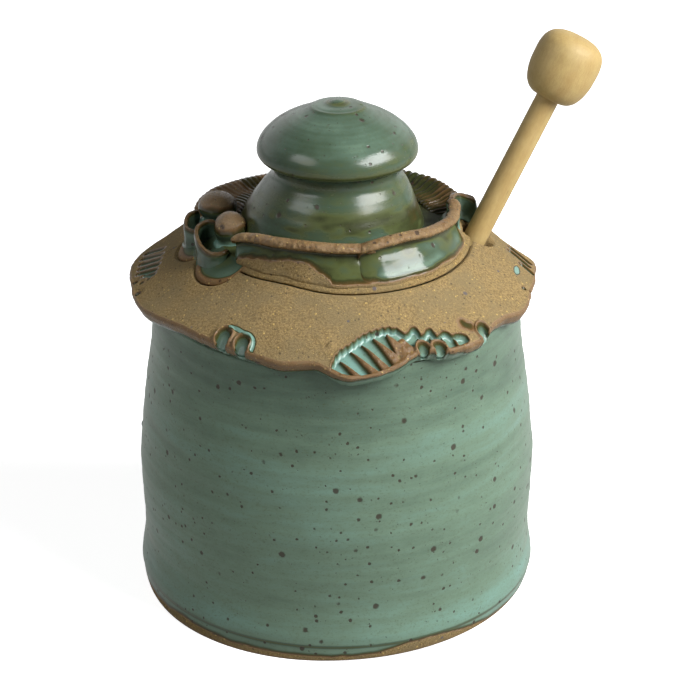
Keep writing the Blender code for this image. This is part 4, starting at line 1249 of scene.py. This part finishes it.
def make_wall(name, route, rim_heights, foot_heights, thickness, seed):
    """Upright ribbon of clay along a plan route, with a rounded brown rim and glossy faces."""
    line = curve_through(route, 70)
    outward = -sideways(line)
    share = np.linspace(0, 1, len(line))
    rim = smooth_value(share, rim_heights)[:, None]
    foot = smooth_value(share, foot_heights)[:, None]
    half = thickness / 2
    section = curve_through((
        (half + WALL_FLARE, 0.0), (half + 0.15, 0.22), (half * 0.9, 0.62), (half * 1.12, 0.86),
        (half * 0.75, 0.98), (0.0, 1.0), (-half * 0.75, 0.98), (-half * 1.1, 0.86),
        (-half * 0.9, 0.6), (-half - 0.1, 0.22), (-half - WALL_FLARE, 0.0)), 36)
    across = section[:, 0]
    level = section[:, 1]
    x = line[:, :1] + outward[:, :1] * across
    y = line[:, 1:] + outward[:, 1:] * across
    points = np.stack([x, y, toward(foot, rim, level)], axis=-1)
    points = points + (0.10 * lumps(points, 2.5, seed) + 0.05 * lumps(points, 1.1, seed + 1))[..., None]
    points = rounded_ends(points, share, 0.08, 0.2)
    glaze = 0.65 + 0.12 * lumps(points, 2.4, seed + 2) + 0.18 * ease(level, 0.35, 0.02)
    below = rim - points[..., 2]
    glaze = layered(glaze, (OLIVE, ease(below, 1.3, 0.8)), (0.27, ease(below, 0.6, 0.3)))
    return grid_piece(name, points, glaze)


def make_bead(name, place, radius, half_height, brown, seed):
    """Rounded bead of clay luted on the lid, with a glazed skirt."""
    profile = curve_through(BEAD_PROFILE, 44)
    height = profile[:, 1:] * half_height
    points = polar_points(np.arange(0, 360, 5.0)[None, :], profile[:, :1] * radius, height)
    grown = 1 + 0.045 * lumps(points / radius, 0.9, seed) + 0.02 * lumps(points / radius, 0.35, seed + 1)
    points = points * grown[..., None]
    level = height / half_height + 0.22 * lumps(points, 3.2, seed + 2)
    glaze = brown + 0.05 * lumps(points, 1.6, seed + 3)
    glaze = layered(glaze, (0.34, ease(level, 0.50, 0.12)), (0.60, ease(level, 0.12, -0.20)),
                    (AQUA, ease(level, -0.45, -0.85)))
    return grid_piece(name, points + np.array(place), glaze)


# Dipper

def turned_on_dipper(name, profile, middle, columns):
    """Turn a profile of (radius, along) about the dipper's axis."""
    azimuth = np.arange(columns)[None, :] * 360 / columns
    local = polar_points(azimuth, profile[:, :1], profile[:, 1:] + middle)
    tilt = math.radians(DIPPER_TILT)
    lean = math.radians(DIPPER_AZIMUTH)
    side = np.array((math.cos(tilt) * math.cos(lean), math.cos(tilt) * math.sin(lean), -math.sin(tilt)))
    other = np.array((-math.sin(lean), math.cos(lean), 0.0))
    up = dipper_direction()
    points = DIPPER_PASS + local[..., :1] * side + local[..., 1:2] * other + local[..., 2:] * up
    return grid_piece(name, points, 0.0, local=local)


def make_grip():
    """Barrel grip with softened end faces."""
    half = GRIP_LENGTH / 2
    wide = GRIP_RADIUS
    profile = curve_through((
        (0.4, half - 1.0), (3.2, half - 1.15), (5.4, half - 1.7), (7.3, half - 2.8), (8.5, half - 4.4),
        (wide + 0.1, half - 6.7), (wide + 0.2, 0.4), (wide, -2.9), (8.3, -half + 4.2), (7.2, -half + 2.0),
        (5.8, -half + 0.7), (4.6, -half + 0.2), (3.6, -half)), 88)
    return turned_on_dipper("grip_barrel", profile, GRIP_CENTRE, 72)


def head_bottom():
    """Distance of the head's lower end from the pass point, along the dipper."""
    low = box_mm("dipper_head")[0]
    drop = HEAD_RADIUS * math.sin(math.radians(DIPPER_TILT)) * 0.78
    return (low[2] + drop - DIPPER_PASS[2]) / dipper_direction()[2]


def make_rod():
    """Round rod between the head and the grip."""
    start = head_bottom() + HEAD_LENGTH - ROD_SEATING
    end = GRIP_CENTRE - GRIP_LENGTH / 2 + ROD_SEATING
    along = np.linspace(start, end, 90)
    profile = np.stack([np.full_like(along, ROD_RADIUS), along], axis=1)[::-1]
    return turned_on_dipper("rod_turned", profile, 0.0, 48)


def make_head():
    """Grooved head that holds the honey."""
    half = HEAD_LENGTH / 2
    waves = HEAD_GROOVES + 0.5
    along = np.linspace(half, -half, 120)
    wave = 0.5 + 0.5 * np.cos(2 * np.pi * waves * (along / HEAD_LENGTH + 0.5 / waves * 0.5))
    radius = toward(HEAD_CORE, HEAD_RADIUS, ease(wave, 0.25, 0.6))
    dome = np.sqrt(np.clip(1 - ((np.abs(along) - half + 2.5) / 2.5).clip(0) ** 2, 0.02, 1))
    profile = np.stack([radius * (0.62 + 0.38 * dome), along], axis=1)
    return turned_on_dipper("head_grooved", profile, head_bottom() + half, 72)


# Stage, camera and light

# Camera at the photograph's viewing angle: what it looks at, its height angle, distance and lens
CAMERA_TARGET = (0.0037, 0.0, 0.0669)
CAMERA_ELEVATION = 27.485
CAMERA_DISTANCE = 1.020
CAMERA_LENS = 190.57
CAMERA_SENSOR = 36.0

# Lamps: azimuth, height angle, distance, width, height, power in watts; and what they face
KEY_BOX = (68, 39, 0.85, 0.62, 0.40, 12.5)
FILL_BOX = (-60, 43, 0.95, 0.56, 0.30, 2.0)
LIT_PLACE = (0.0, 0.0, 0.07)

# Surround: strength as a light, and its dimmer share overhead and in front
AMBIENT = 0.03
CEILING = 0.15
ROOM = 0.25

# Floor: half width in metres, colour as the camera, the bounced light and a reflection meet it, and glow
FLOOR_REACH = 6.0
FLOOR_WHITE = (0.95, 0.95, 0.95)
BOUNCE_COLOUR = (0.48, 0.48, 0.47)
REFLECTED_FLOOR = (0.25, 0.25, 0.25)
FLOOR_GLOW = 0.80
REFLECTED_GLOW = 0.50


def look_from(target, azimuth, elevation, distance):
    """Place and rotation of something that looks at a target; azimuth 0 is in front, + to the right."""
    turn = math.radians(azimuth)
    rise = math.radians(elevation)
    away = Vector((math.sin(turn) * math.cos(rise), -math.cos(turn) * math.cos(rise), math.sin(rise)))
    return Vector(target) + away * distance, away.to_track_quat("Z", "Y").to_euler()


def make_camera():
    """Camera at the photograph's viewing angle."""
    lens = bpy.data.cameras.new("camera")
    lens.lens = CAMERA_LENS
    lens.sensor_width = CAMERA_SENSOR
    lens.clip_start = 0.01
    lens.clip_end = 20.0
    camera = add_object("camera", lens)
    camera.location, camera.rotation_euler = look_from(CAMERA_TARGET, 0, CAMERA_ELEVATION, CAMERA_DISTANCE)
    bpy.context.scene.camera = camera


def make_soft_box(name, azimuth, elevation, distance, width, height, power):
    """Rectangular lamp that faces the pot."""
    light = bpy.data.lights.new(name, "AREA")
    light.shape = "RECTANGLE"
    light.size = width
    light.size_y = height
    light.energy = power
    lamp = add_object(name, light)
    lamp.location, lamp.rotation_euler = look_from(LIT_PLACE, azimuth, elevation, distance)


def make_world():
    """White surround, dimmer overhead and in the room in front, and dim as a light on the pot."""
    world = bpy.data.worlds.new("surround")
    bpy.context.scene.world = world
    world.use_nodes = True
    tree = world.node_tree
    background = tree.nodes["Background"]
    connect(tree, background.inputs["Color"], (1.0, 1.0, 1.0))
    height = node(tree, "SeparateXYZ", 2, (node(tree, "TexCoord", "Generated"),))
    overhead = height.spread(0.35, 0.75, 1.0, CEILING)
    front = height.output(1).spread(0.60, 0.0, 1.0, ROOM)
    wanted = overhead * front
    from_camera, clear = ray_kinds(tree)
    reflected = clear.spread(0.0, 1.0, AMBIENT, wanted)
    connect(tree, background.inputs["Strength"], from_camera.spread(0.0, 1.0, reflected, 1.0))


def ray_kinds(tree):
    """1 for rays from the camera, and 1 for rays in a reflection or through something clear."""
    camera = node(tree, "LightPath", "Is Camera Ray")
    return camera, camera.output("Is Glossy Ray").most(camera.output("Is Transmission Ray"))


def make_floor():
    """Wide white floor that keeps the pot's shadow."""
    mesh = bpy.data.meshes.new("floor")
    corners = [(x * FLOOR_REACH, y * FLOOR_REACH, 0) for x, y in ((-1, -1), (1, -1), (1, 1), (-1, 1))]
    mesh.from_pydata(corners, [], [(0, 1, 2, 3)])
    floor = add_object("floor", mesh)
    material, tree = new_material("floor_white")
    from_camera, clear = ray_kinds(tree)
    colour = from_camera.blend(clear.blend(BOUNCE_COLOUR, REFLECTED_FLOOR), FLOOR_WHITE)
    glow = (clear * REFLECTED_GLOW).most(from_camera * FLOOR_GLOW)
    set_shader(tree, {"Base Color": colour, "Roughness": 0.9, "Specular IOR Level": 0.0,
                      "Emission Color": (1.0, 1.0, 1.0), "Emission Strength": glow})
    mesh.materials.append(material)


def make_pieces():
    """Every visible piece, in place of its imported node."""
    satin, knob, glossy, bead, slab, plate = (stoneware(*kind) for kind in STONEWARE_KINDS)
    wood = birch()
    dress(make_pot_body(), "pot", "sage_glaze", satin, "pot_body")
    dress(make_collar(), "pot", "raw_clay", slab, "collar")
    dress(make_lid_plate(), "lid", "raw_clay", plate, "lid_plate")
    dress(make_knob(), "lid", "sage_glaze", knob, "lid_knob")
    on_lid = {
        "front_left_strap": make_front_strap("left_strap_clay", LEFT_LIP, 61),
        "front_right_strap": make_front_strap("right_strap_clay", RIGHT_LIP, 71),
        "back_right_strap": make_back_strap("back_right_ribbon", *BACK_RIGHT),
        "back_left_strap": make_back_strap("back_left_ribbon", *BACK_LEFT),
        "front_curl": make_wall("front_curl_clay", *FRONT_CURL),
        "back_curl": make_wall("back_curl_clay", *BACK_CURL),
        "dipper_cup": make_wall("dipper_cup_clay", *DIPPER_CUP),
    }
    beads = {
        "large_bead": make_bead("large_bead_clay", *LARGE_BEAD),
        "small_bead": make_bead("small_bead_clay", *SMALL_BEAD),
    }
    wooden = {"dipper_rod": make_rod(), "dipper_grip": make_grip(), "dipper_head": make_head()}
    kinds = ((on_lid, "lid", "dark_glaze", glossy), (beads, "lid", "dark_glaze", bead),
             (wooden, "dipper", "pale_wood", wood))
    for pieces, body, slot, material in kinds:
        for node, piece in pieces.items():
            dress(piece, body, slot, material, node)


make_pieces()
make_floor()
make_world()
make_soft_box("key_box", *KEY_BOX)
make_soft_box("fill_box", *FILL_BOX)
make_camera()
bpy.context.scene.view_settings.view_transform = "Standard"
